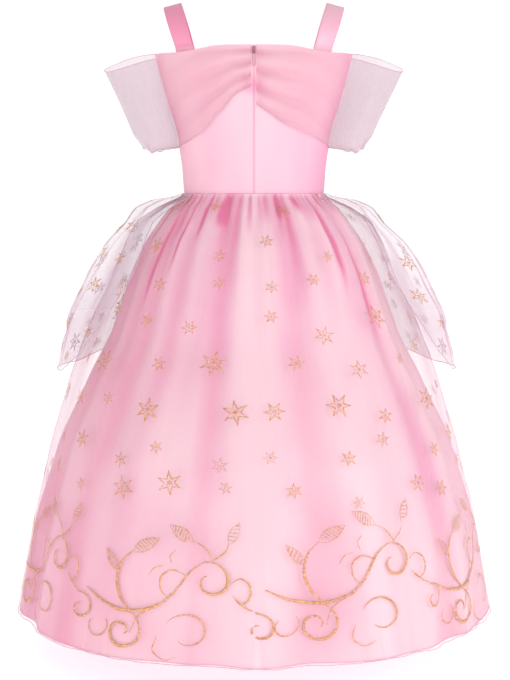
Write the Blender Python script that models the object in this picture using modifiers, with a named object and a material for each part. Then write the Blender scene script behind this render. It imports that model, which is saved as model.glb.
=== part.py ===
"""A girl's princess costume dress, hollow and filled out as it is when worn.

Metres, +Z up. The front faces -Y and the centre back zip faces +Y. The origin lies midway
between the undersides of the two shoulder straps, where the wearer's shoulders hold the dress.
Angles run round the body from the wearer's left side (+X, 0 degrees) to the centre back
(90), the right side (180) and the centre front (270).
"""

import math
from collections import namedtuple

import bmesh
import bpy
from mathutils import Matrix, Vector

# Cloth and seams
SATIN = 0.0015
ORGANZA = 0.0010
SEAM_GAP = 0.0003
STEP = 1e-4  # how far apart two points are taken to find a surface's direction

# Finishes, with their linear colours
Finish = namedtuple("Finish", "colour roughness metallic")
PINK_SATIN = Finish((0.90, 0.50, 0.65), 0.35, 0.0)
SHEER_ORGANZA = Finish((0.85, 0.66, 0.76), 0.55, 0.0)
ZIP_NYLON = Finish((0.84, 0.38, 0.53), 0.45, 0.0)
ZIP_METAL = Finish((0.80, 0.36, 0.50), 0.35, 0.0)

# Levels, measured from the undersides of the straps
BACK_NECK_Z = -0.064
FRONT_NECK_Z = -0.070
CORNER_Z = -0.0735
UNDERARM_Z = -0.213
WAIST_Z = -0.280

# Straps
STRAP_WIDTH = 0.028
STRAP_THICK = 0.002
STRAP_ANGLE = 50.0
STRAP_INSET = 0.0038
STRAP_BOW = 0.0006
STRAP_CREST_X = 0.1227
STRAP_TUCK = 0.012
SHOULDER_SLOPE = math.radians(15.0)

# Skirts
GATHERS = 40
GATHER_DEPTH = 0.0025
UNDER_LENGTH = 0.640
OVER_LENGTH = 0.644
OVER_FOLD_SHARE = 0.6
HEM_WAVES = 9
HEM_WAVE_DEPTH = 0.003
SKIRT_COLUMNS = 80
ZIP_IN_SKIRT = 0.085

# Side drapes, which stand off the overskirt
DRAPE_CLEAR = 0.0004
DRAPE_COLUMNS = 16
DRAPE_FOLDS = 5
DRAPE_FOLD_DEPTH = 0.006

# Organza band round the bust and arms
BAND_FOLDS = 3
BAND_EDGE_X = 0.0035
BAND_LIFT = 0.0012
SLEEVE_TOP = Vector((0.226, 0.0, -0.097))
SLEEVE_FOOT = Vector((0.167, 0.0, -0.221))
SLEEVE_BULGE_TOP = 0.020
SLEEVE_BULGE_FOOT = 0.032
SLEEVE_START = 0.0008
SLEEVE_RIPPLE = 0.002

# Zip
ZIP_STRIP_WIDTH = 0.004
ZIP_STRIP_THICK = 0.0012
SLIDER = Vector((0.005, 0.0024, 0.011))
SLIDER_TOP_Z = -0.0665
PULL_PIVOT_Z = -0.0735
PULL_LENGTH = 0.0215
PULL_TOP_WIDTH = 0.0034
PULL_FOOT_WIDTH = 0.0044
PULL_WIRE = 0.0009
BRIDGE_WIRE = 0.0009

BodiceSection = namedtuple("BodiceSection", "z half_width half_depth armhole_y")
BODICE = (
    BodiceSection(-0.280, 0.1070, 0.0800, 0.0),
    BodiceSection(-0.245, 0.1095, 0.0812, 0.0),
    BodiceSection(-0.213, 0.1137, 0.0825, 0.0),
    BodiceSection(-0.209, 0.1147, 0.0827, 0.012),
    BodiceSection(-0.199, 0.1175, 0.0831, 0.020),
    BodiceSection(-0.179, 0.1250, 0.0840, 0.026),
    BodiceSection(-0.143, 0.1390, 0.0850, 0.030),
    BodiceSection(-0.105, 0.1520, 0.0855, 0.033),
    BodiceSection(-0.064, 0.1650, 0.0853, 0.036),
)
BODICE_COLUMNS = 10  # from the centre to the side, for the bodice and the band on it
BODICE_STATIONS = (0.0, 0.16, 0.3245, 0.345, 0.39, 0.49, 0.66, 0.83, 1.0)

# Outer faces of the two skirts and the side drapes, by the drop below the waist
SkirtSection = namedtuple("SkirtSection", "drop under_w under_d over_w over_d drape_w")
SKIRT = (
    SkirtSection(0.000, 0.1075, 0.0805, 0.1088, 0.0818, 0.1126),
    SkirtSection(0.004, 0.1082, 0.0812, 0.1102, 0.0832, 0.1190),
    SkirtSection(0.011, 0.1135, 0.0860, 0.1235, 0.0915, 0.1480),
    SkirtSection(0.024, 0.1280, 0.0985, 0.1500, 0.1060, 0.1720),
    SkirtSection(0.045, 0.1440, 0.1120, 0.1790, 0.1240, 0.1950),
    SkirtSection(0.080, 0.1680, 0.1340, 0.1980, 0.1460, 0.2250),
    SkirtSection(0.130, 0.1920, 0.1560, 0.2190, 0.1690, 0.2560),
    SkirtSection(0.200, 0.2160, 0.1780, 0.2530, 0.1920, 0.2880),
    SkirtSection(0.290, 0.2600, 0.2160, 0.2870, 0.2290, 0.3060),
    SkirtSection(0.400, 0.3080, 0.2580, 0.3190, 0.2690, 0.3280),
    SkirtSection(0.520, 0.3400, 0.2880, 0.3450, 0.2960, 0.3520),
    SkirtSection(0.644, 0.3590, 0.3050, 0.3670, 0.3130, 0.3740),
)
FINE_BANDS = 3  # the gathered bands below the waist, with twice the columns

# Troughs between the folds of the back, from the waist to the hem
Fold = namedtuple("Fold", "waist_deg hem_deg depth half_deg start end")
BACK_FOLDS = (
    Fold(17, 20, 0.009, 10, 0.06, 0.90),
    Fold(31, 34, 0.005, 8, 0.03, 0.34),
    Fold(39, 50, 0.008, 9, 0.00, 0.46),
    Fold(54, 60, 0.006, 8, 0.00, 0.36),
    Fold(66, 68, 0.005, 8, 0.16, 0.90),
    Fold(74, 82, 0.007, 9, 0.00, 0.90),
    Fold(90, 91, 0.003, 6, 0.00, 0.26),
    Fold(108, 103, 0.007, 9, 0.00, 0.90),
    Fold(124, 120, 0.006, 8, 0.02, 0.42),
    Fold(138, 128, 0.004, 8, 0.10, 0.90),
    Fold(154, 142, 0.010, 10, 0.00, 0.90),
    Fold(168, 163, 0.006, 8, 0.05, 0.60),
)
FRONT_FOLD_SHIFT = 5.0  # degrees by which the hidden front's folds miss the back's mirror
FOLD_RISE = 0.05
FOLD_FALL = 0.14

# How far a side drape reaches round from the side, and how long it hangs there
DrapeReach = namedtuple("DrapeReach", "share back_drop front_drop")
DRAPE_EDGE = (
    DrapeReach(0.00, 0.270, 0.270),
    DrapeReach(0.35, 0.262, 0.266),
    DrapeReach(0.65, 0.235, 0.250),
    DrapeReach(0.85, 0.195, 0.215),
    DrapeReach(1.00, 0.120, 0.140),
)
LEFT_DRAPE_BACK = 34.0
RIGHT_DRAPE_BACK = 20.0
DRAPE_FRONT = 52.0
DRAPE_STATIONS = (0.0, 0.03, 0.08, 0.18, 0.32, 0.48, 0.64, 0.80, 0.92, 1.0)

# Lower edge of the organza band on the bodice, from the centre gather to the armhole
BandEdge = namedtuple("BandEdge", "share left_z right_z")
BAND_EDGE = (
    BandEdge(0.00, -0.124, -0.150),
    BandEdge(0.12, -0.134, -0.163),
    BandEdge(0.30, -0.164, -0.180),
    BandEdge(0.55, -0.194, -0.193),
    BandEdge(0.80, -0.206, -0.204),
    BandEdge(1.00, -0.2115, -0.2115),
)


def read(table, key, column, at):
    """The table's column at a key between its rows, on a curve that runs smoothly through them."""
    rows = [(getattr(row, key), getattr(row, column)) for row in table]
    if at <= rows[0][0]:
        return rows[0][1]
    if at >= rows[-1][0]:
        return rows[-1][1]
    i = max(n for n in range(len(rows) - 1) if rows[n][0] <= at)
    slopes = [slope_at(rows, n) for n in (i, i + 1)]
    (x0, y0), (x1, y1) = rows[i], rows[i + 1]
    span = x1 - x0
    t = (at - x0) / span
    return (
        y0 * (1 + 2 * t) * (1 - t) ** 2
        + y1 * t * t * (3 - 2 * t)
        + span * slopes[0] * t * (1 - t) ** 2
        - span * slopes[1] * t * t * (1 - t)
    )


def slope_at(rows, n):
    """The slope that keeps the curve between its rows' values: the gentler neighbouring slope."""
    around = [
        (b[1] - a[1]) / (b[0] - a[0])
        for a, b in zip(rows[max(0, n - 1) : n + 1], rows[max(1, n) : n + 2])
    ]
    if len(around) == 1 or around[0] * around[1] > 0:
        return min(around, key=abs)
    return 0.0


def smoothstep(low, high, at):
    t = min(1.0, max(0.0, (at - low) / (high - low)))
    return t * t * (3 - 2 * t)


def bump(x):
    """1 at 0, falling smoothly to 0 at 1 either way."""
    return math.cos(math.pi * x / 2) ** 2 if abs(x) < 1 else 0.0


def mix(a, b, t):
    return a + (b - a) * t


def turned(degrees):
    return math.cos(math.radians(degrees)), math.sin(math.radians(degrees))


def normal_of(surface, u, v, outward):
    """The unit normal of a surface at (u, v), on the side that outward points to."""
    along = surface(u + STEP, v) - surface(u - STEP, v)
    down = surface(u, v + STEP) - surface(u, v - STEP)
    normal = along.cross(down).normalized()
    return normal if normal.dot(outward) >= 0 else -normal


def from_axis(point):
    """The level direction from the body's axis to a point."""
    return Vector((point.x, point.y, 0.0))


def bands_between(upper, lower):
    """Faces between two rows of vertices, where the upper may have twice the lower's spaces."""
    if len(upper) == len(lower):
        for i in range(len(upper) - 1):
            yield upper[i], upper[i + 1], lower[i + 1], lower[i]
        return
    for i in range(len(lower) - 1):
        first, middle, last = upper[2 * i : 2 * i + 3]
        yield first, middle, lower[i]
        yield middle, lower[i + 1], lower[i]
        yield middle, last, lower[i + 1]


def cloth_wall(name, rows, thickness, finish):
    """A closed wall of cloth from rows of (outer point, outward normal)."""
    mesh = bmesh.new()
    outer = [[mesh.verts.new(p) for p, n in row] for row in rows]
    inner = [[mesh.verts.new(p - n * thickness) for p, n in row] for row in rows]
    for skin in (outer, inner):
        for upper, lower in zip(skin, skin[1:]):
            for face in bands_between(upper, lower):
                mesh.faces.new(face)
    for rim in (0, -1):
        for i in range(len(outer[rim]) - 1):
            mesh.faces.new((outer[rim][i], outer[rim][i + 1], inner[rim][i + 1], inner[rim][i]))
        for i in range(len(outer) - 1):
            mesh.faces.new((outer[i][rim], outer[i + 1][rim], inner[i + 1][rim], inner[i][rim]))
    bmesh.ops.recalc_face_normals(mesh, faces=mesh.faces)
    return object_from(name, mesh, finish)


def object_from(name, mesh, finish):
    data = bpy.data.meshes.new(name)
    mesh.to_mesh(data)
    mesh.free()
    data.materials.append(material(name, finish))
    data.shade_smooth()
    data.set_sharp_from_angle(angle=math.radians(50.0))
    made = bpy.data.objects.new(name, data)
    garment.objects.link(made)
    return made


# Bodice


def neck_z(theta, front):
    """The level of the bodice's top edge at an angle round the body."""
    middle = FRONT_NECK_Z if front else BACK_NECK_Z
    across = abs(turned(theta)[0])
    return mix(middle, CORNER_Z, smoothstep(0.35, 0.92, across))


def bodice_point(theta, z, out=0.0):
    """A point on the bodice's outer face, or that far outside it, at an angle and a level."""
    half_width = read(BODICE, "z", "half_width", z) + out
    half_depth = read(BODICE, "z", "half_depth", z) + out
    cos, sin = turned(theta)
    return Vector((half_width * cos, half_depth * sin, z))


def edge_angle(z):
    """The angle from the side at which the armhole cuts the bodice, or the side seam's half gap."""
    half_depth = read(BODICE, "z", "half_depth", z)
    cut = max(SEAM_GAP / 2, read(BODICE, "z", "armhole_y", z))
    return math.degrees(math.asin(cut / half_depth))


def back_edge_angle(z):
    """The angle that a centre back seam's half gap takes up."""
    return math.degrees(SEAM_GAP / 2 / read(BODICE, "z", "half_width", z))


def bodice_rows(start, end, columns, front):
    """Rows of a bodice panel from the waist up. start and end give its edges' angles at a level."""
    rows = []
    for v in BODICE_STATIONS:
        row = []
        for i in range(columns + 1):
            u = i / columns
            rough = mix(start(WAIST_Z), end(WAIST_Z), u)
            z = mix(WAIST_Z, neck_z(rough, front), v)
            theta = mix(start(z), end(z), u)
            point = bodice_point(theta, z)
            row.append((point, normal_of(bodice_point, theta, z, from_axis(point))))
        rows.append(row)
    return rows


def make_bodice():
    def right_edge(z):
        return 180 - edge_angle(z)

    def front_right_edge(z):
        return 180 + edge_angle(z)

    def front_left_edge(z):
        return 360 - edge_angle(z)

    cloth_wall(
        "bodice_back_left",
        bodice_rows(edge_angle, lambda z: 90 - back_edge_angle(z), BODICE_COLUMNS, False),
        SATIN,
        PINK_SATIN,
    )
    cloth_wall(
        "bodice_back_right",
        bodice_rows(lambda z: 90 + back_edge_angle(z), right_edge, BODICE_COLUMNS, False),
        SATIN,
        PINK_SATIN,
    )
    cloth_wall(
        "bodice_front",
        bodice_rows(front_right_edge, front_left_edge, 2 * BODICE_COLUMNS, True),
        SATIN,
        PINK_SATIN,
    )


# Straps


def strap_middle(turn, below):
    """Centre of the left strap, from its back root (turn 0) over the shoulder to its front (180)."""
    root = bodice_point(STRAP_ANGLE, BACK_NECK_Z - below, -STRAP_INSET)
    cos, sin = turned(turn)
    crest = STRAP_THICK / 2
    return Vector((mix(root.x, STRAP_CREST_X, sin), root.y * cos, mix(root.z, crest, sin)))


def strap_across(turn):
    """The left strap's width direction, along the neckline at its roots and sloping at its crest."""
    cos, sin = turned(STRAP_ANGLE)
    half_width = read(BODICE, "z", "half_width", BACK_NECK_Z)
    half_depth = read(BODICE, "z", "half_depth", BACK_NECK_Z)
    level = Vector((half_width * sin, -half_depth * cos * turned(turn)[0], 0.0)).normalized()
    slope = Vector((math.cos(SHOULDER_SLOPE), 0.0, -math.sin(SHOULDER_SLOPE)))
    return level.lerp(slope, turned(turn)[1] ** 2).normalized()


def make_strap(name, side):
    """One shoulder strap, 1 for the left and -1 for the right, tucked inside both necklines."""
    over = [(180 * i / 12, 0.0) for i in range(13)]
    back = [(0.0, STRAP_TUCK), (0.0, STRAP_TUCK / 2)]
    front = [(180.0, STRAP_TUCK / 2), (180.0, STRAP_TUCK)]
    places = back + over + front
    middles = [strap_middle(turn, below) for turn, below in places]
    flip = Vector((side, 1, 1))
    rows = []
    for i, (turn, below) in enumerate(places):
        along = middles[min(i + 1, len(places) - 1)] - middles[max(i - 1, 0)]
        across = strap_across(turn)
        up = across.cross(along).normalized()
        if up.dot(Vector((0.3, 10 * middles[i].y, 1.0))) < 0:
            up = -up
        row = []
        for place in (-0.5, -0.25, 0.0, 0.25, 0.5):
            bow = STRAP_BOW * (2 * place) ** 2 * (1 - turned(turn)[1])
            point = middles[i] + across * STRAP_WIDTH * place + up * (STRAP_THICK / 2 - bow)
            row.append((point * flip, up * flip))
        rows.append(row)
    cloth_wall(name, rows, STRAP_THICK, PINK_SATIN)


# Skirts


def fold_depth(theta, drop):
    """How far the folds' troughs draw the satin in at an angle and a drop below the waist."""
    back = theta % 360 <= 180
    facing = theta % 360 if back else 360 - theta % 360 + FRONT_FOLD_SHIFT
    total = 0.0
    for fold in BACK_FOLDS:
        middle = mix(fold.waist_deg, fold.hem_deg, drop / UNDER_LENGTH)
        shape = bump((facing - middle) / fold.half_deg)
        rise = smoothstep(fold.start, fold.start + FOLD_RISE, drop)
        fall = 1 - smoothstep(fold.end - FOLD_FALL, fold.end, drop)
        total += fold.depth * shape * rise * fall
    return total


def hem_wave(theta, drop):
    """The low waves of the hems, the same on both skirts so that they nest."""
    wave = math.sin(math.radians(HEM_WAVES * theta) + 1.3 * math.sin(math.radians(4 * theta)))
    return HEM_WAVE_DEPTH * wave * smoothstep(0.25, UNDER_LENGTH, drop)


def gather(theta, drop):
    """How far the gathers stand out at an angle and a drop below the waist seam."""
    phase = math.radians(theta * GATHERS) + 0.8 * math.sin(math.radians(7 * theta))
    size = 1 - smoothstep(0.011, 0.045, drop)
    return GATHER_DEPTH * size * (0.5 + 0.5 * math.cos(phase))


def under_point(theta, drop):
    """The satin skirt's outer face."""
    cos, sin = turned(theta)
    out = hem_wave(theta, drop) - fold_depth(theta, drop)
    half_width = read(SKIRT, "drop", "under_w", drop) + out
    half_depth = read(SKIRT, "drop", "under_d", drop) + out
    return Vector((half_width * cos, half_depth * sin, WAIST_Z - SEAM_GAP - drop))


def over_point(theta, drop):
    """The organza overskirt's outer face."""
    cos, sin = turned(theta)
    out = hem_wave(theta, drop) + gather(theta, drop) - OVER_FOLD_SHARE * fold_depth(theta, drop)
    half_width = read(SKIRT, "drop", "over_w", drop) + out
    half_depth = read(SKIRT, "drop", "over_d", drop) + out
    return Vector((half_width * cos, half_depth * sin, WAIST_Z - SEAM_GAP - drop))


def skirt_rows(surface, start, end, length, fine_bands):
    """Rows of a skirt panel between two seams, half a seam gap inside each."""
    rows = []
    for band, section in enumerate(SKIRT):
        drop = min(section.drop, length)
        columns = round((end - start) / 360 * SKIRT_COLUMNS)
        if band < fine_bands:
            columns *= 2
        trim = math.degrees(SEAM_GAP / 2 / section.under_d)
        row = []
        for i in range(columns + 1):
            theta = mix(start + trim, end - trim, i / columns)
            point = surface(theta, drop)
            row.append((point, normal_of(surface, theta, drop, from_axis(point))))
        rows.append(row)
    return rows


def make_skirts():
    for panel, start, end in (("back_left", 0, 90), ("back_right", 90, 180), ("front", 180, 360)):
        rows = skirt_rows(under_point, start, end, UNDER_LENGTH, 0)
        cloth_wall("skirt_" + panel, rows, SATIN, PINK_SATIN)
        rows = skirt_rows(over_point, start, end, OVER_LENGTH, FINE_BANDS)
        cloth_wall("overskirt_" + panel, rows, ORGANZA, SHEER_ORGANZA)


# Side drapes


def drape_point(place, v, back_reach):
    """A side drape's outer face on the left. place runs from the front edge (-1) to the back (1)."""
    share = min(1.0, abs(place))
    theta = place * (back_reach if place >= 0 else DRAPE_FRONT)
    column = "back_drop" if place >= 0 else "front_drop"
    drop = v * read(DRAPE_EDGE, "share", column, share)
    near = read(SKIRT, "drop", "over_w", drop) + GATHER_DEPTH + ORGANZA + DRAPE_CLEAR
    stand_off = (read(SKIRT, "drop", "drape_w", drop) - near) * (1 - share**2)
    swell = math.sin(math.pi * min(1.0, v * 1.25)) ** 2
    wave = math.sin(math.pi * DRAPE_FOLDS * place + 2.2 * v) * swell
    stand_off += DRAPE_FOLD_DEPTH * (0.5 + 0.5 * wave) * smoothstep(0.0, 0.3, v) * (1 - share)
    steep = 0.0012 * smoothstep(0.002, 0.012, drop)
    half_width = near + max(0.0, stand_off) + steep
    half_depth = read(SKIRT, "drop", "over_d", drop) + GATHER_DEPTH + ORGANZA + DRAPE_CLEAR + steep
    cos, sin = turned(theta)
    return Vector((half_width * cos, half_depth * sin, WAIST_Z - SEAM_GAP - drop))


def make_side_drape(name, side, back_reach):
    def surface(place, v):
        return drape_point(place, v, back_reach)

    flip = Vector((side, 1, 1))
    rows = []
    for v in DRAPE_STATIONS:
        row = []
        for i in range(DRAPE_COLUMNS + 1):
            place = mix(-1.0, 1.0, i / DRAPE_COLUMNS)
            point = surface(place, v)
            normal = normal_of(surface, place, v, from_axis(point))
            row.append((point * flip, normal * flip))
        rows.append(row)
    cloth_wall(name, rows, ORGANZA, SHEER_ORGANZA)


# Organza band on the bodice, and the sleeves that it runs into


def band_point(u, v, side, front):
    """The band's outer face on one half of the back or front, from the centre (u 0) to the armhole."""
    edge = read(BAND_EDGE, "share", "left_z" if side > 0 else "right_z", u)
    middle = FRONT_NECK_Z if front else BACK_NECK_Z
    top = mix(middle, CORNER_Z, smoothstep(0.45, 1.0, u)) - 0.001
    z = mix(top, edge, v)
    outer = 90 - math.degrees(BAND_EDGE_X / read(BODICE, "z", "half_width", z))
    theta = mix(outer, edge_angle(z), u)
    size = mix(0.0045, 0.0006, smoothstep(0.0, 0.8, u))
    folds = 0.5 - 0.5 * math.cos(2 * math.pi * BAND_FOLDS * v)
    lift = BAND_LIFT * smoothstep(0.55, 0.85, v)
    point = bodice_point(theta, z, SEAM_GAP + ORGANZA + size * folds + lift)
    return point * Vector((side, -1 if front else 1, 1))


def make_band(name, side, front):
    def surface(u, v):
        return band_point(u, v, side, front)

    rows = []
    for j in range(4 * BAND_FOLDS + 1):
        v = j / (4 * BAND_FOLDS)
        row = []
        for i in range(BODICE_COLUMNS + 1):
            u = i / BODICE_COLUMNS
            point = surface(u, v)
            row.append((point, normal_of(surface, u, v, from_axis(point))))
        rows.append(row)
    cloth_wall(name, rows, ORGANZA, SHEER_ORGANZA)


def sleeve_point(turn, v, side):
    """The sleeve's outer face. turn runs from the back edge (90) round the arm to the front (-90)."""
    start = band_point(1.0, v, 1, False)
    far = SLEEVE_TOP.lerp(SLEEVE_FOOT, v)
    cos, sin = turned(turn)
    bulge = mix(SLEEVE_BULGE_TOP, SLEEVE_BULGE_FOOT, v)
    ripple = SLEEVE_RIPPLE * math.sin(math.radians(6 * turn)) * cos * v
    way = Vector((far.x - start.x, 2 * bulge, 0.0)).normalized() * SLEEVE_START
    x = mix(start.x + way.x, far.x, cos) + ripple
    y = (start.y + way.y) * sin + math.copysign(bulge, sin) * abs(math.sin(math.radians(2 * turn)))
    z = mix(start.z, far.z, cos**1.4 if cos > 0 else 0.0)
    return Vector((side * x, y, z))


def make_sleeve(name, side):
    def surface(turn, v):
        return sleeve_point(turn, v, side)

    columns = 14
    rows = []
    for j in range(7):
        v = j / 6
        row = []
        for i in range(columns + 1):
            turn = mix(90.0, -90.0, i / columns)
            point = surface(turn, v)
            middle = Vector((side * 0.14, 0.0, point.z))
            row.append((point, normal_of(surface, turn * 0.999, v, point - middle)))
        rows.append(row)
    cloth_wall(name, rows, ORGANZA, SHEER_ORGANZA)


# Zip


def make_zip_strip():
    """The closed zip's strip behind the centre back seam, on the inner faces of bodice and skirt."""
    gap = SATIN + SEAM_GAP
    levels = [mix(BACK_NECK_Z - 0.003, WAIST_Z, i / 8) for i in range(9)]
    places = [(bodice_point(90, z).y - gap, z) for z in levels]
    for section in SKIRT:
        if 0 < section.drop <= ZIP_IN_SKIRT:
            point = under_point(90, section.drop)
            out = normal_of(under_point, 90, section.drop, from_axis(point))
            inside = point - out * gap
            places.append((inside.y, inside.z))
    edges = (ZIP_STRIP_WIDTH / 2, -ZIP_STRIP_WIDTH / 2)
    outward = Vector((0, 1, 0))
    rows = [[(Vector((x, y, z)), outward) for x in edges] for y, z in places]
    cloth_wall("zip_strip", rows, ZIP_STRIP_THICK, ZIP_NYLON)


def tube(name, points, radius, cyclic):
    """A round wire through the points, as a mesh object."""
    curve = bpy.data.curves.new(name, "CURVE")
    curve.dimensions = "3D"
    curve.bevel_depth = radius
    curve.bevel_resolution = 1
    curve.use_fill_caps = not cyclic
    spline = curve.splines.new("POLY")
    spline.points.add(len(points) - 1)
    for place, point in zip(spline.points, points):
        place.co = (*point, 1.0)
    spline.use_cyclic_u = cyclic
    holder = bpy.data.objects.new(name + "_curve", curve)
    garment.objects.link(holder)
    graph = bpy.context.evaluated_depsgraph_get()
    data = bpy.data.meshes.new_from_object(holder.evaluated_get(graph))
    bpy.data.objects.remove(holder)
    mesh = bmesh.new()
    mesh.from_mesh(data)
    bmesh.ops.remove_doubles(mesh, verts=mesh.verts, dist=1e-6)
    bmesh.ops.recalc_face_normals(mesh, faces=mesh.faces)
    return object_from(name, mesh, ZIP_METAL)


def make_slider():
    """The zip's slider on the neckline, with the bridge that holds the pull."""
    face = bodice_point(90, PULL_PIVOT_Z).y + 2 * SEAM_GAP
    bpy.ops.mesh.primitive_cube_add(
        size=1.0, location=(0.0, face + SLIDER.y / 2, SLIDER_TOP_Z - SLIDER.z / 2)
    )
    slider = bpy.context.object
    slider.name = "zip_slider"
    slider.data.name = "zip_slider"
    slider.data.transform(Matrix.Diagonal((*SLIDER, 1.0)))
    slider.data.materials.append(material("zip_slider", ZIP_METAL))
    move_to_garment(slider)
    rounded = slider.modifiers.new("rounded", "BEVEL")
    rounded.width = 0.0007
    rounded.segments = 2
    front = face + SLIDER.y
    axis_y = front + SEAM_GAP + PULL_WIRE / 2
    rise = axis_y + PULL_WIRE / 2 + SEAM_GAP + BRIDGE_WIRE / 2 - front
    reach = PULL_WIRE / 2 + SEAM_GAP + BRIDGE_WIRE / 2 + 0.0003
    arch = []
    for i in range(9):
        cos, sin = turned(180 * i / 8)
        arch.append((0.0, front + rise * sin, PULL_PIVOT_Z + reach * cos))
    sunk = [(0.0, front - 0.0006, PULL_PIVOT_Z + reach), *arch, (0.0, front - 0.0006, PULL_PIVOT_Z - reach)]
    bridge = tube("bridge", sunk, BRIDGE_WIRE / 2, False)
    bridge.hide_render = True
    bridge.display_type = "WIRE"
    garment.objects.unlink(bridge)
    cutters.objects.link(bridge)
    joined = slider.modifiers.new("bridge", "BOOLEAN")
    joined.operation = "UNION"
    joined.object = bridge
    return axis_y


def make_pull(axis_y):
    """The pull: a long ring whose top bar turns under the slider's bridge."""
    top, foot = PULL_TOP_WIDTH / 2, PULL_FOOT_WIDTH / 2
    low = PULL_LENGTH - foot
    ring = [(-top, 0.0), (top, 0.0), (mix(top, foot, 0.5), -low / 2)]
    ring += [(foot * turned(-180 * i / 8)[0], -low + foot * turned(-180 * i / 8)[1]) for i in range(9)]
    ring.append((-mix(top, foot, 0.5), -low / 2))
    pull = tube("zip_pull", [(x, 0.0, z) for x, z in ring], PULL_WIRE / 2, True)
    pull.location = (0.0, axis_y, PULL_PIVOT_Z)


def move_to_garment(made):
    for holder in list(made.users_collection):
        holder.objects.unlink(made)
    garment.objects.link(made)


def material(name, finish):
    """A piece's own material, in its finish."""
    made = bpy.data.materials.new(name)
    made.use_nodes = True
    shader = made.node_tree.nodes["Principled BSDF"]
    shader.inputs["Base Color"].default_value = (*finish.colour, 1.0)
    shader.inputs["Roughness"].default_value = finish.roughness
    shader.inputs["Metallic"].default_value = finish.metallic
    return made


for leftover in list(bpy.data.objects):
    bpy.data.objects.remove(leftover)

garment = bpy.data.collections.new("princess_dress")
cutters = bpy.data.collections.new("cutters")
for group in (garment, cutters):
    bpy.context.scene.collection.children.link(group)

make_bodice()
make_strap("strap_left", 1)
make_strap("strap_right", -1)
make_skirts()
make_side_drape("side_drape_left", 1, LEFT_DRAPE_BACK)
make_side_drape("side_drape_right", -1, RIGHT_DRAPE_BACK)
for half, side in (("left", 1), ("right", -1)):
    make_band("band_back_" + half, side, False)
    make_band("band_front_" + half, side, True)
    make_sleeve("sleeve_" + half, side)
make_zip_strip()
make_pull(make_slider())
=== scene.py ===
"""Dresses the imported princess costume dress: satin under sheer organza, with print, zip and sewing.

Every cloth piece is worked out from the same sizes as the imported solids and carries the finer
gathers, folds and hems. Metres, +Z up; the back of the dress, with its zip, faces +Y.
"""

import logging
import math
from dataclasses import dataclass, field
from enum import Enum
from typing import Any, Callable, Iterable, Sequence

import bpy
import numpy as np
from bpy.types import Material, Mesh, Node, NodeSocket, NodeTree, Object
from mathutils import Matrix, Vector


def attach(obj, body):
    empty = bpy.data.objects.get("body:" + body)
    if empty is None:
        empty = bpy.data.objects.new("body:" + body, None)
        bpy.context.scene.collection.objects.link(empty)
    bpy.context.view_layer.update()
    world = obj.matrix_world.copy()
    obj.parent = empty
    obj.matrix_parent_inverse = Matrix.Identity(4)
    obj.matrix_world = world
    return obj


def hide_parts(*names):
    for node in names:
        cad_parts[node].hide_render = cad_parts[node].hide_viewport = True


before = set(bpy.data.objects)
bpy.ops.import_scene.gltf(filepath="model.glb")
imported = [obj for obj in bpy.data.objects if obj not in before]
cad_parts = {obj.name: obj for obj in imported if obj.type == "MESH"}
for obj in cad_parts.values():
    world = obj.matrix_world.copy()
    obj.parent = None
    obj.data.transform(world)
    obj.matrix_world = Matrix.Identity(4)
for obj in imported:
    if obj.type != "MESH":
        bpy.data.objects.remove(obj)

Array = np.ndarray

LOG = logging.getLogger("dress")
DRESS_BODY = "dress"
WAIST_Z = -0.2800
SKIRT_TOP_Z = -0.2803
SEAM_HALF_GAP = 0.00015
ROLL_RADIUS = 0.0006
STITCH_PITCH = 0.0034
SHARP_EDGE_DEG = 50.0


# Small tools


def smoothstep(low: float, high: float, at: Array) -> Array:
    """Runs from 0 at low to 1 at high, level at both ends."""
    t = np.clip((np.asarray(at, float) - low) / (high - low), 0.0, 1.0)
    return t * t * (3 - 2 * t)


def bump(x: Array) -> Array:
    """1 at 0, falling smoothly to 0 at 1 either way."""
    return np.where(np.abs(x) < 1, np.cos(np.clip(x, -1, 1) * math.pi / 2) ** 2, 0.0)


def mix(a: Any, b: Any, t: Any) -> Any:
    """The value that share t of the way from a to b gives."""
    return a + (b - a) * t


def degrees_from(middle: Any, theta: Array) -> Array:
    """How far round an angle lies from a middle one, from -180 to 180 degrees."""
    return np.mod(theta - middle + 180.0, 360.0) - 180.0


def linear(code: str) -> tuple[float, float, float, float]:
    """Turns an sRGB hex colour into linear light.

    Args:
        code: The colour, such as "f7c3d8".

    Returns:
        Red, green, blue and full alpha.
    """
    parts = [int(code[i : i + 2], 16) / 255 for i in (0, 2, 4)]
    light = [c / 12.92 if c <= 0.04045 else ((c + 0.055) / 1.055) ** 2.4 for c in parts]
    return light[0], light[1], light[2], 1.0


def add_node(
    tree: NodeTree, kind: str, settings: dict[str, Any] | None = None, inputs: dict[Any, Any] | None = None
) -> Node:
    """Adds a node, sets it up and links it.

    Args:
        tree: The tree it goes in.
        kind: The node's type name.
        settings: Values of the node's own properties.
        inputs: Input names or numbers, each with a value or with the socket that feeds it.

    Returns:
        The new node.
    """
    node = tree.nodes.new(kind)
    for key, value in (settings or {}).items():
        setattr(node, key, value)
    feed(node, inputs or {})
    return node


def feed(node: Node, inputs: dict[Any, Any]) -> None:
    """Sets or links a node's inputs.

    Args:
        node: The node.
        inputs: Input names or numbers, each with a value or with the socket that feeds it.
    """
    for key, value in inputs.items():
        if isinstance(value, NodeSocket):
            node.id_data.links.new(value, node.inputs[key])
        else:
            node.inputs[key].default_value = value


def link_to_scene(made: Object) -> Object:
    """Puts an object in the scene's collection."""
    bpy.context.scene.collection.objects.link(made)
    return made


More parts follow.
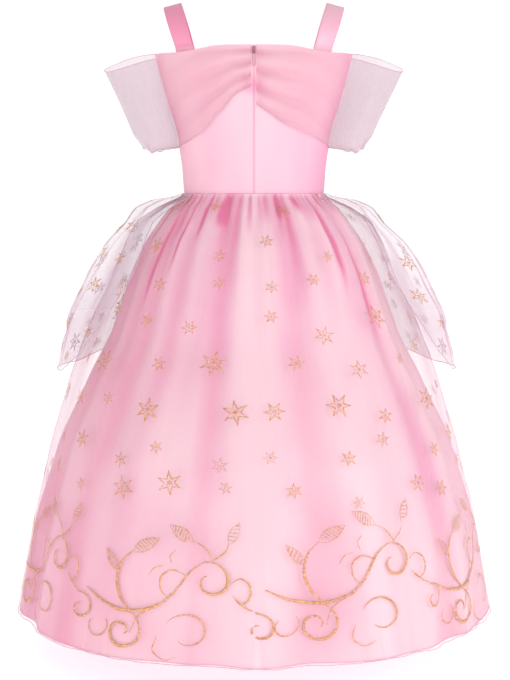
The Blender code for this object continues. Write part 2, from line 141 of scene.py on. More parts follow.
def new_object(name: str, points: Any, edges: Any = (), faces: Any = ()) -> Object:
    """Makes a mesh object in the scene.

    Args:
        name: The object's and the mesh's name.
        points: The mesh's points.
        edges: Pairs of points that loose edges join.
        faces: The points round each face.

    Returns:
        The object.
    """
    mesh = bpy.data.meshes.new(name)
    mesh.from_pydata(points, edges, faces)
    return link_to_scene(bpy.data.objects.new(name, mesh))


def report(piece: Object) -> None:
    """Logs a finished piece."""
    LOG.info("%s: %d faces", piece.name, len(piece.data.polygons))


@dataclass(frozen=True)
class Curve:
    """A value that runs smoothly through the rows of a table and never past them."""

    places: tuple[float, ...]
    values: tuple[float, ...]

    def at(self, where: Any) -> Array:
        """Reads the curve.

        Args:
            where: One place or an array of them.

        Returns:
            The values there, held level past the table's ends.
        """
        x = np.asarray(self.places, float)
        y = np.asarray(self.values, float)
        steep = np.diff(y) / np.diff(x)
        gentler = np.where(np.abs(steep[:-1]) < np.abs(steep[1:]), steep[:-1], steep[1:])
        inner = np.where(steep[:-1] * steep[1:] > 0, gentler, 0.0)
        slopes = np.concatenate(([steep[0]], inner, [steep[-1]]))
        where = np.clip(np.asarray(where, float), x[0], x[-1])
        i = np.clip(np.searchsorted(x, where, "right") - 1, 0, len(x) - 2)
        span = x[i + 1] - x[i]
        t = (where - x[i]) / span
        level = y[i] * (1 + 2 * t) * (1 - t) ** 2 + y[i + 1] * t * t * (3 - 2 * t)
        lean = slopes[i] * t * (1 - t) ** 2 - slopes[i + 1] * t * t * (1 - t)
        return level + span * lean


def table_curve(rows: Sequence[Any], place: str, value: str) -> Curve:
    """The curve through two columns of a table."""
    return Curve(tuple(getattr(row, place) for row in rows), tuple(getattr(row, value) for row in rows))


@dataclass(frozen=True)
class Ripple:
    """Soft unevenness of hanging cloth: a few waves of unlike length, the same on every run."""

    seed: int
    size: float
    waves: int = 5

    def at(self, across: Array, down: Array, rate: float) -> Array:
        """Reads the unevenness.

        Args:
            across: Places across the cloth, in radians round the body or in any other unit.
            down: Places down the cloth, in metres.
            rate: Waves to one unit across.

        Returns:
            How far the cloth stands out there.
        """
        picks = np.random.default_rng(self.seed)
        total = np.zeros(np.broadcast(across, down).shape)
        for _ in range(self.waves):
            turns = rate * picks.uniform(0.6, 1.5)
            drift = picks.uniform(-4.0, 4.0)
            total = total + np.sin(across * turns + down * drift + picks.uniform(0, 2 * math.pi))
        return self.size * total / math.sqrt(self.waves)


class Side(Enum):
    """The wearer's two sides, by the sign of X."""

    LEFT = 1
    RIGHT = -1

    @property
    def word(self) -> str:
        """The side's word in a node's name."""
        return self.name.lower()


class Facing(Enum):
    """Which half of the body a piece lies on, by the sign of Y."""

    BACK = 1
    FRONT = -1

    @property
    def word(self) -> str:
        """The half's word in a node's name."""
        return self.name.lower()


class Held(Enum):
    """How a sheet of cloth is held."""

    GATHERED = "gathered"
    HUNG = "hung"
    STRETCHED = "stretched"


# Finishes


class Recipe:
    """One material while it is put together, with the textures that the finishes share."""

    wave_repeat_mm = 314.0

    def __init__(self, name: str) -> None:
        """Starts the material with its plain shader."""
        self.material = bpy.data.materials.new(name)
        self.material.use_nodes = True
        self.tree = self.material.node_tree

    def finish(self, inputs: dict[str, Any]) -> Material:
        """Feeds the shader and gives the finished material."""
        feed(self.tree.nodes["Principled BSDF"], inputs)
        return self.material

    def place(self) -> NodeSocket:
        """Places on the object, in metres."""
        return add_node(self.tree, "ShaderNodeTexCoord").outputs["Object"]

    def cloth_map(self, name: str, output: str) -> NodeSocket:
        """One of the maps that the cloth carries."""
        return add_node(self.tree, "ShaderNodeAttribute", {"attribute_name": name}).outputs[output]

    def noise(self, place: NodeSocket, scale: float, detail: float) -> NodeSocket:
        """Cloudy unevenness from 0 to 1."""
        inputs = {"Vector": place, "Scale": scale, "Detail": detail}
        return add_node(self.tree, "ShaderNodeTexNoise", None, inputs).outputs["Fac"]

    def ribs(self, place: NodeSocket, direction: str, pitch_mm: float, bend: float = 0.0) -> NodeSocket:
        """Fine ribs from 0 to 1: a wave texture at scale 1 repeats every 314 mm."""
        inputs = {"Vector": place, "Scale": self.wave_repeat_mm / pitch_mm, "Distortion": bend}
        return add_node(self.tree, "ShaderNodeTexWave", {"bands_direction": direction}, inputs).outputs["Fac"]

    def remap(
        self,
        value: NodeSocket,
        given: tuple[float, float] = (0.0, 1.0),
        wanted: tuple[float, float] = (0.0, 1.0),
    ) -> NodeSocket:
        """Turns one range of a value into another and holds it level past the ends.

        Args:
            value: The value.
            given: The range that it is read over.
            wanted: What the ends of that range become.

        Returns:
            The new value.
        """
        inputs = {"Value": value, "From Min": given[0], "From Max": given[1]}
        inputs |= {"To Min": wanted[0], "To Max": wanted[1]}
        return add_node(self.tree, "ShaderNodeMapRange", None, inputs).outputs["Result"]

    def blend(self, share: NodeSocket, first: Any, second: Any) -> NodeSocket:
        """The colour that lies a share of the way from the first to the second."""
        inputs = {0: share, 6: first, 7: second}
        return add_node(self.tree, "ShaderNodeMix", {"data_type": "RGBA"}, inputs).outputs[2]

    def maths(self, operation: str, *values: Any, clamp: bool = False) -> NodeSocket:
        """One sum on its values."""
        settings = {"operation": operation, "use_clamp": clamp}
        return add_node(self.tree, "ShaderNodeMath", settings, dict(enumerate(values))).outputs["Value"]

    def relief(self, height: NodeSocket, strength: float, depth: float) -> NodeSocket:
        """Fine relief from a height, that many metres deep."""
        inputs = {"Height": height, "Strength": strength, "Distance": depth}
        return add_node(self.tree, "ShaderNodeBump", None, inputs).outputs["Normal"]


@dataclass(frozen=True)
class Satin:
    """Polyester satin: warp floats lie along the cloth, so it is smooth and shines softly."""

    name: str = "pink_polyester_satin"
    # Pale colour, mottled in at random and used as the painted highlight on crests.
    pale_highlight: str = "fcd6df"
    body: str = "f6b5c8"
    cool: str = "f2b0cb"
    # Painted shade colour of the deepest fold troughs.
    trough_shade: str = "ea5897"
    sheen: str = "ffe3ee"
    plain: float = 0.3
    # The real floats lie about 0.1 mm apart; drawn coarser, so that they can be seen.
    rib_mm: float = 1.6
    roughness: float = 0.40
    cloud_scale: float = 5.0
    drift_scale: float = 3.1
    slub_scale: float = 120.0

    def make(self) -> Material:
        """Builds the material.

        Returns:
            The satin: its pale colour, a painted highlight, where "fold" is 0, plain at its plain level, and
                painted trough shade at 1.
        """
        recipe = Recipe(self.name)
        place = recipe.place()
        fold = recipe.cloth_map("fold", "Fac")
        cut = recipe.cloth_map("cut", "Vector")
        pale_highlight = linear(self.pale_highlight)
        clouds = recipe.remap(recipe.noise(place, self.cloud_scale, 2.0), (0.35, 0.65))
        cooler = recipe.remap(recipe.noise(place, self.drift_scale, 1.0), (0.48, 0.66))
        hue = recipe.blend(cooler, linear(self.body), linear(self.cool))
        base = recipe.blend(clouds, pale_highlight, hue)
        # Painted light: a low "fold" lightens towards the highlight, a high one darkens towards the trough
        # shade.
        flat = recipe.blend(recipe.remap(fold, (0.0, self.plain)), pale_highlight, base)
        deep = recipe.blend(recipe.remap(fold, (self.plain, 1.0)), flat, linear(self.trough_shade))
        slubs = recipe.noise(cut, self.slub_scale, 3.0)
        weave = recipe.maths("MULTIPLY_ADD", slubs, 0.8, recipe.ribs(cut, "X", self.rib_mm))
        return recipe.finish(
            {
                "Base Color": deep,
                "Normal": recipe.relief(weave, 0.12, 0.0003),
                "Roughness": self.roughness,
                "IOR": 1.5,
                "Specular IOR Level": 0.45,
                "Sheen Weight": 0.25,
                "Sheen Roughness": 0.4,
                "Sheen Tint": linear(self.sheen),
            }
        )


@dataclass(frozen=True)
class Organza:
    """Sheer crisp organza: fine open plain weave, so what lies behind it shows through."""

    name: str = "sheer_organza"
    thread: str = "fbe6ef"
    # Colour where the cloth lies double: the extra cover is real, the deeper pink is painted shade.
    doubled_and_shaded: str = "f0b7d0"
    cover: float = 0.085
    fold_cover: float = 0.15
    # The real mesh is about 0.3 mm; drawn coarser, so that it can be seen.
    mesh_mm: float = 1.4

    def make(self) -> Material:
        """Builds the material.

        Returns:
            The organza: mostly clear, with more cover where its folds lie double, and there a deeper colour
                that is painted shade.
        """
        recipe = Recipe(self.name)
        fold = recipe.cloth_map("fold", "Fac")
        cut = recipe.cloth_map("cut", "Vector")
        warp, weft = (recipe.ribs(cut, way, self.mesh_mm) for way in "XY")
        threads = recipe.maths("MAXIMUM", warp, weft)
        woven = recipe.remap(threads, wanted=(self.cover * 0.55, self.cover * 1.25))
        return recipe.finish(
            {
                # Painted shade: the fold share tints towards the deeper doubled colour.
                "Base Color": recipe.blend(fold, linear(self.thread), linear(self.doubled_and_shaded)),
                "Alpha": recipe.maths("MULTIPLY_ADD", fold, self.fold_cover, woven, clamp=True),
                "Normal": recipe.relief(threads, 0.1, 0.0002),
                "Roughness": 0.5,
                "IOR": 1.5,
                "Sheen Weight": 0.1,
                "Sheen Roughness": 0.35,
            }
        )


@dataclass(frozen=True)
class Glitter:
    """Gold glitter glue print: metallised flakes in a clear binder, sparse where it has rubbed."""

    name: str = "gold_glitter_print"
    bright: str = "fbca9a"
    dark: str = "dd9162"
    # Real flakes are about 0.2 mm; drawn coarser, so that they can be seen.
    flake_mm: float = 2.4
    wear_scale: float = 14.0

    def make(self) -> Material:
        """Builds the material.

        Returns:
            The print: flakes of two golds, with small gaps between them.
        """
        recipe = Recipe(self.name)
        place = recipe.place()
        inputs = {"Vector": place, "Scale": 1000.0 / self.flake_mm}
        flakes = add_node(recipe.tree, "ShaderNodeTexVoronoi", None, inputs)
        tone = add_node(recipe.tree, "ShaderNodeSeparateColor", None, {"Color": flakes.outputs["Color"]})
        worn = recipe.noise(place, self.wear_scale, 5.0)
        strewn = recipe.maths("MULTIPLY_ADD", tone.outputs["Green"], 0.30, worn)
        return recipe.finish(
            {
                "Base Color": recipe.blend(tone.outputs["Red"], linear(self.dark), linear(self.bright)),
                "Alpha": recipe.remap(strewn, (0.50, 0.66), (0.22, 0.88)),
                "Metallic": 0.2,
                "Roughness": 0.4,
            }
        )


@dataclass(frozen=True)
class Thread:
    """Spun polyester sewing thread or a rolled organza edge: matt, a shade deeper than the cloth."""

    name: str
    colour: str
    twist_mm: float = 0.8
    cover: float = 1.0

    def make(self) -> Material:
        """Builds the material.

        Returns:
            The thread, with its twist as a fine slanted rib.
        """
        recipe = Recipe(self.name)
        twist = recipe.ribs(recipe.place(), "DIAGONAL", self.twist_mm, 0.4)
        paler = mix_colours(self.colour, "ffffff", 0.25)
        return recipe.finish(
            {
                "Base Color": recipe.blend(twist, linear(self.colour), paler),
                "Normal": recipe.relief(twist, 0.4, 0.0001),
                "Roughness": 0.7,
                "Alpha": self.cover,
            }
        )


@dataclass(frozen=True)
class ZipFinish:
    """Pink zip parts: moulded nylon teeth, or a die-cast slider under baked enamel."""

    name: str
    colour: str
    roughness: float
    coat: float
    mottle_scale: float = 900.0

    def make(self) -> Material:
        """Builds the material.

        Returns:
            The finish, with faint mottling and softly rubbed gloss.
        """
        recipe = Recipe(self.name)
        mottle = recipe.noise(recipe.place(), self.mottle_scale, 2.0)
        paler = mix_colours(self.colour, "ffffff", 0.2)
        return recipe.finish(
            {
                "Base Color": recipe.blend(mottle, linear(self.colour), paler),
                "Roughness": recipe.remap(mottle, wanted=(self.roughness * 0.8, self.roughness * 1.3)),
                "Coat Weight": self.coat,
                "Coat Roughness": 0.2,
            }
        )


def mix_colours(first: str, second: str, share: float) -> tuple[float, float, float, float]:
    """The linear colour that lies a share of the way between two sRGB hex colours."""
    a, b = linear(first), linear(second)
    return tuple(mix(p, q, share) for p, q in zip(a, b))


# Cloth


def grid_normals(points: Array) -> Array:
    """Finds the outward direction at each point of a grid of cloth.

    Args:
        points: Rows by columns by 3; rows run down the cloth, columns round the body or arm.

    Returns:
        Unit vectors of the same shape.
    """
    down = np.gradient(points, axis=0)
    along = np.gradient(points, axis=1)
    normal = np.cross(down, along)
    return normal / np.maximum(np.linalg.norm(normal, axis=2, keepdims=True), 1e-12)


@dataclass
class Cloth:
    """One piece of cloth as a grid of points, with what it is cut from and printed by.

    The grid's rows run down and its columns run anticlockwise, seen from above, so that down
    crossed with along points out of the cloth.
    """

    name: str
    points: Array
    cut: Array
    thickness: float
    # Share of painted light and shade at each point, and for organza its extra cover; written as the "fold"
    # map.
    fold: Array | None = None
    printed: Array | None = None

    def mirrored(self) -> "Cloth":
        """The same piece for the other side of the body, its columns turned round to face out."""
        points = self.points[:, ::-1] * np.array((-1.0, 1.0, 1.0))
        fold = None if self.fold is None else self.fold[:, ::-1]
        printed = None if self.printed is None else self.printed[:, ::-1]
        return Cloth(self.name, points, self.cut[:, ::-1], self.thickness, fold, printed)

    def skin(self, material: Material) -> Object:
        """Makes the piece's outer face alone, for a print to be laid on.

        Args:
            material: The cloth's finish.

        Returns:
            A smooth open sheet with its cut, print and fold maps.
        """
        rows, columns = self.points.shape[:2]
        index = np.arange(rows * columns).reshape(rows, columns)
        corners = (index[:-1, :-1], index[1:, :-1], index[1:, 1:], index[:-1, 1:])
        faces = np.stack(corners, axis=-1).reshape(-1, 4)
        made = new_object(self.name, self.points.reshape(-1, 3).tolist(), (), faces.tolist())
        mesh = made.data
        self.write_map(mesh, "cut", self.cut, faces)
        if self.printed is not None:
            self.write_map(mesh, "printed", self.printed, faces)
        depth = np.zeros((rows, columns)) if self.fold is None else self.fold
        mesh.attributes.new("fold", "FLOAT", "POINT").data.foreach_set(
            "value", depth.astype(np.float32).reshape(-1)
        )
        mesh.materials.append(material)
        mesh.shade_smooth()
        return made

    def write_map(self, mesh: Mesh, name: str, places: Array, faces: Array) -> None:
        """Writes one map of flat places, in metres, to the corners of a mesh."""
        layer = mesh.uv_layers.new(name=name)
        layer.data.foreach_set("uv", places.reshape(-1, 2)[faces.reshape(-1)].astype(np.float32).reshape(-1))

    def thicken(self, made: Object) -> Object:
        """Gives the sheet its thickness, on the inner side.

        Args:
            made: The outer face.

        Returns:
            The same object as a closed wall.
        """
        wall = made.modifiers.new("thickness", "SOLIDIFY")
        wall.thickness = self.thickness
        wall.offset = -1.0
        wall.use_rim = True
        graph = bpy.context.evaluated_depsgraph_get()
        mesh = bpy.data.meshes.new_from_object(made.evaluated_get(graph))
        made.modifiers.clear()
        mesh.set_sharp_from_angle(angle=math.radians(SHARP_EDGE_DEG))
        made.data = mesh
        return made


def grid(rows: int, columns: int, crowd: float = 1.0) -> tuple[Array, Array]:
    """Makes even places over a piece.

    Args:
        rows: Spaces down.
        columns: Spaces across.
        crowd: Over 1 to set the rows closer at the top.

    Returns:
        Shares across and down, from 0 to 1, each rows + 1 by columns + 1.
    """
    across, down = np.meshgrid(np.linspace(0, 1, columns + 1), np.linspace(0, 1, rows + 1) ** crowd)
    return across, down


# Repeats, made with Geometry Nodes


class PathTool:
    """Builds what runs along a path: rolled edges, and rows of stitches or zip teeth."""

    def __init__(self) -> None:
        """Builds the two trees once, for every path."""
        self.edge_tree = self.build_edge_tree()
        self.row_tree = self.build_row_tree()

    def build_edge_tree(self) -> NodeTree:
        """Builds the tree that turns a path into a fine roll of cloth or thread.

        Returns:
            The tree.
        """
        tree = new_geometry_tree("rolled_edge", {"Radius": "Float", "Material": "Material"})
        given = add_node(tree, "NodeGroupInput")
        path = add_node(tree, "GeometryNodeMeshToCurve", None, {"Mesh": given.outputs["Geometry"]})
        sizes = {"Resolution": 6, "Radius": given.outputs["Radius"]}
        ring = add_node(tree, "GeometryNodeCurvePrimitiveCircle", None, sizes)
        rolled = {"Curve": path.outputs["Curve"], "Profile Curve": ring.outputs["Curve"], "Fill Caps": True}
        roll = add_node(tree, "GeometryNodeCurveToMesh", None, rolled)
        finish_tree(tree, roll.outputs["Mesh"], given.outputs["Material"])
        return tree

    def build_row_tree(self) -> NodeTree:
        """Builds the tree that sets a small piece along a path at an even spacing.

        Returns:
            The tree.
        """
        sockets = {"Spacing": "Float", "Piece": "Object", "Material": "Material"}
        tree = new_geometry_tree("row_along_path", sockets)
        given = add_node(tree, "NodeGroupInput")
        path = add_node(tree, "GeometryNodeMeshToCurve", None, {"Mesh": given.outputs["Geometry"]})
        spaced = {"Curve": path.outputs["Curve"], "Length": given.outputs["Spacing"]}
        places = add_node(tree, "GeometryNodeCurveToPoints", {"mode": "LENGTH"}, spaced)
        piece = add_node(tree, "GeometryNodeObjectInfo", None, {"Object": given.outputs["Piece"]})
        inputs = {
            "Points": places.outputs["Points"],
            "Instance": piece.outputs["Geometry"],
            "Rotation": places.outputs["Rotation"],
        }
        row = add_node(tree, "GeometryNodeInstanceOnPoints", None, inputs)
        finish_tree(tree, row.outputs["Instances"], given.outputs["Material"])
        return tree

    def path_object(self, name: str, points: Array, closed: bool = False) -> Object:
        """A path as loose edges.

        Args:
            name: The object's name.
            points: The path's points in order.
            closed: Whether the last point joins the first.

        Returns:
            The object, ready for one of the trees.
        """
        count = len(points)
        edges = [(i, i + 1) for i in range(count - 1)] + ([(count - 1, 0)] if closed else [])
        return new_object(name, np.asarray(points).tolist(), edges)

    def rolled_edge(
        self,
        name: str,
        points: Array,
        material: Material,
        radius: float = ROLL_RADIUS,
        closed: bool = False,
    ) -> Object:
        """A fine roll along a path, such as a rolled hem."""
        path = self.path_object(name, points, closed)
        return through_tree(path, self.edge_tree, {"Radius": radius, "Material": material})

    def row(
        self, name: str, points: Array, piece: Object, material: Material, spacing: float = STITCH_PITCH
    ) -> Object:
        """A row of small pieces along a path, such as stitches."""
        path = self.path_object(name, points)
        return through_tree(path, self.row_tree, {"Spacing": spacing, "Piece": piece, "Material": material})


def new_geometry_tree(name: str, inputs: dict[str, str]) -> NodeTree:
    """Starts a geometry tree with a geometry in and out.

    Args:
        name: The tree's name.
        inputs: Name and kind of each input after the geometry.

    Returns:
        The tree.
    """
    tree = bpy.data.node_groups.new(name, "GeometryNodeTree")
    tree.interface.new_socket("Geometry", in_out="INPUT", socket_type="NodeSocketGeometry")
    for label, kind in inputs.items():
        tree.interface.new_socket(label, in_out="INPUT", socket_type="NodeSocket" + kind)
    tree.interface.new_socket("Geometry", in_out="OUTPUT", socket_type="NodeSocketGeometry")
    return tree


def finish_tree(tree: NodeTree, geometry: NodeSocket, material: NodeSocket) -> None:
    """Ends a tree: realises its instances and sets their material.

    Args:
        tree: The tree.
        geometry: What it has made.
        material: The input that holds the finish.
    """
    real = add_node(tree, "GeometryNodeRealizeInstances", None, {"Geometry": geometry})
    inputs = {"Geometry": real.outputs["Geometry"], "Material": material}
    dressed = add_node(tree, "GeometryNodeSetMaterial", None, inputs)
    add_node(tree, "NodeGroupOutput", None, {"Geometry": dressed.outputs["Geometry"]})


def through_tree(source: Object, tree: NodeTree, inputs: dict[str, Any]) -> Object:
    """Runs an object through a geometry tree and keeps the result as a plain mesh.

    Args:
        source: The object that the tree works on.
        tree: The tree.
        inputs: The tree's inputs by name.

    Returns:
        The same object with the new mesh and no modifier.
    """
    step = source.modifiers.new("build", "NODES")
    step.node_group = tree
    for item in tree.interface.items_tree:
        if item.item_type == "SOCKET" and item.in_out == "INPUT" and item.name in inputs:
            step[item.identifier] = inputs[item.name]
    graph = bpy.context.evaluated_depsgraph_get()
    mesh = bpy.data.meshes.new_from_object(source.evaluated_get(graph))
    source.modifiers.clear()
    mesh.name = source.name
    source.data = mesh
    mesh.shade_smooth()
    return source


@dataclass(frozen=True)
class Bead:
    """Sizes of a stitch or a tooth: along the path, across it and out of the cloth."""

    length: float
    width: float
    height: float


LOCK_STITCH = Bead(0.0024, 0.0005, 0.0003)
ZIP_TOOTH = Bead(0.0012, 0.0042, 0.0013)


def small_bead(name: str, size: Bead) -> Object:
    """Makes a small pillow-shaped piece along Z, such as a stitch or a tooth.

    Args:
        name: The object's name.
        size: Its sizes.

    Returns:
        An object of 18 faces for the trees to repeat.
    """
    swell = 0.85 / 2
    ring = [(math.cos(a), math.sin(a)) for a in np.linspace(0, 2 * math.pi, 6, endpoint=False)]
    points = [(0.0, 0.0, -size.length / 2)]
    for share in (-0.3, 0.3):
        points += [(x * size.width * swell, y * size.height * swell, share * size.length) for x, y in ring]
    points.append((0.0, 0.0, size.length / 2))
    faces = [(0, 1 + (i + 1) % 6, 1 + i) for i in range(6)]
    faces += [(1 + i, 1 + (i + 1) % 6, 7 + (i + 1) % 6, 7 + i) for i in range(6)]
    faces += [(13, 7 + i, 7 + (i + 1) % 6) for i in range(6)]
    return new_object(name, points, (), faces)


class Workroom:
    """What every part of the dress is made with: the finishes, the tool for paths and a stitch."""

    def __init__(self) -> None:
        """Makes all of it once."""
        self.satin = Satin().make()
        self.organza = Organza().make()
        self.banded = Organza("sheer_organza_on_satin", "f2cbd7", "e890b3", 0.18, 0.2).make()
        # The sleeves' finish: more cover for the layered organza, and a greyer thread colour that is painted
        # shade.
        self.doubled_and_shaded = Organza("doubled_sheer_organza", "dcc2d0", "d99cb8", 0.29, 0.1).make()
        self.gathered = Organza("gathered_sheer_organza", "f6e2ee", "e8b8d2", 0.12, 0.17).make()
        self.glitter = Glitter().make()
        self.thread = Thread("pink_polyester_thread", "f3b3cb").make()
        self.rolled = Thread("rolled_organza_edge", "dcbccd", 1.0, 0.7).make()
        self.nylon = ZipFinish("moulded_pink_nylon", "e58bab", 0.45, 0.1).make()
        self.enamel = ZipFinish("baked_pink_enamel", "a84a6c", 0.45, 0.2).make()
        self.tool = PathTool()
        self.stitch = small_bead("stitch", LOCK_STITCH)


def declare_sheet(
    piece: Object, node: str, flat: tuple[float, float], held: Held
) -> None:
    """Attaches a piece of cloth to the dress, hides the solid it stands for and logs the piece.

    Args:
        piece: The piece.
        node: The solid it stands for.
        flat: Width and length of its cut; not used.
        held: How it is held; not used.
    """
    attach(piece, DRESS_BODY)
    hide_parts(node)
    report(piece)


# Skirts


@dataclass(frozen=True)
class SkirtSection:
    """Half sizes of the skirts' outer faces at one drop below the waist."""

    drop: float
    satin_wide: float
    satin_deep: float
    sheer_wide: float
    sheer_deep: float
    drape_wide: float


SKIRT_SECTIONS = (
    SkirtSection(0.000, 0.1075, 0.0805, 0.1088, 0.0818, 0.1126),
    SkirtSection(0.004, 0.1082, 0.0812, 0.1102, 0.0832, 0.1190),
    SkirtSection(0.011, 0.1135, 0.0860, 0.1235, 0.0915, 0.1480),
    SkirtSection(0.024, 0.1280, 0.0985, 0.1500, 0.1060, 0.1720),
    SkirtSection(0.045, 0.1440, 0.1120, 0.1790, 0.1240, 0.1950),
    SkirtSection(0.080, 0.1680, 0.1340, 0.1980, 0.1460, 0.2250),
    SkirtSection(0.130, 0.1920, 0.1560, 0.2190, 0.1690, 0.2560),
    SkirtSection(0.200, 0.2160, 0.1780, 0.2530, 0.1920, 0.2880),
    SkirtSection(0.290, 0.2600, 0.2160, 0.2870, 0.2290, 0.3060),
    SkirtSection(0.400, 0.3080, 0.2580, 0.3190, 0.2690, 0.3280),
    SkirtSection(0.520, 0.3400, 0.2880, 0.3450, 0.2960, 0.3520),
    SkirtSection(0.644, 0.3590, 0.3050, 0.3670, 0.3130, 0.3740),
)


@dataclass(frozen=True)
class Fold:
    """One trough between the skirt's folds, at its angle at the waist and at the hem."""

    waist_deg: float
    hem_deg: float
    depth: float
    half_deg: float
    start: float
    end: float


BACK_FOLDS = (
    Fold(17, 20, 0.009, 10, 0.06, 0.90),
    Fold(31, 34, 0.005, 8, 0.03, 0.34),
    Fold(39, 50, 0.008, 9, 0.00, 0.46),
    Fold(54, 60, 0.006, 8, 0.00, 0.36),
    Fold(66, 68, 0.005, 8, 0.16, 0.90),
    Fold(74, 82, 0.007, 9, 0.00, 0.90),
    Fold(90, 91, 0.003, 6, 0.00, 0.26),
    Fold(108, 103, 0.007, 9, 0.00, 0.90),
    Fold(124, 120, 0.006, 8, 0.02, 0.42),
    Fold(138, 128, 0.004, 8, 0.10, 0.90),
    Fold(154, 142, 0.010, 10, 0.00, 0.90),
    Fold(168, 163, 0.006, 8, 0.05, 0.60),
)


@dataclass(frozen=True)
class Pocket:
    """A short deep pocket between two large gathers below the waist seam."""

    deg: float
    drop: float
    half_deg: float
    half_drop: float
    # Painted shade that deepens the satin's colour in the pocket.
    shade: float
    depth: float


WAIST_POCKETS = (
    Pocket(70.0, 0.024, 5.5, 0.030, 0.85, 0.0045),
    Pocket(107.0, 0.018, 3.6, 0.022, 0.80, 0.0040),
    Pocket(57.0, 0.034, 2.2, 0.040, 0.60, 0.0030),
    Pocket(47.0, 0.060, 2.0, 0.070, 0.50, 0.0030),
    Pocket(34.0, 0.090, 2.0, 0.090, 0.45, 0.0030),
    Pocket(122.0, 0.012, 2.4, 0.016, 0.45, 0.0020),
    Pocket(136.0, 0.070, 2.6, 0.080, 0.50, 0.0030),
    Pocket(151.0, 0.120, 3.0, 0.120, 0.50, 0.0030),
    Pocket(225.0, 0.030, 3.0, 0.040, 0.60, 0.0035),
    Pocket(262.0, 0.022, 3.6, 0.028, 0.70, 0.0040),
    Pocket(305.0, 0.040, 3.0, 0.050, 0.60, 0.0035),
)


@dataclass(frozen=True)
class ShadeBand:
    """How much painted shade the satin skirt gets at one angle round the body: broad light and dark bands
    where it leans towards or away from the light.
    """

    deg: float
    share: float


SATIN_SHADE_BANDS = tuple(
    ShadeBand(deg, share)
    for deg, share in (
        *((0, 0.42), (28, 0.44), (44, 0.40), (56, 0.28), (65, 0.08), (70, 0.14), (76, 0.38)),
        *((81, 0.18), (86, 0.00), (92, 0.10), (99, 0.18), (106, 0.27), (114, 0.08), (121, 0.00)),
        *((128, 0.00), (134, 0.06), (140, 0.22), (147, 0.22), (156, 0.08), (166, 0.02)),
        *((180, 0.10), (205, 0.18), (240, 0.12), (275, 0.18), (310, 0.12), (335, 0.26), (360, 0.42)),
    )
)


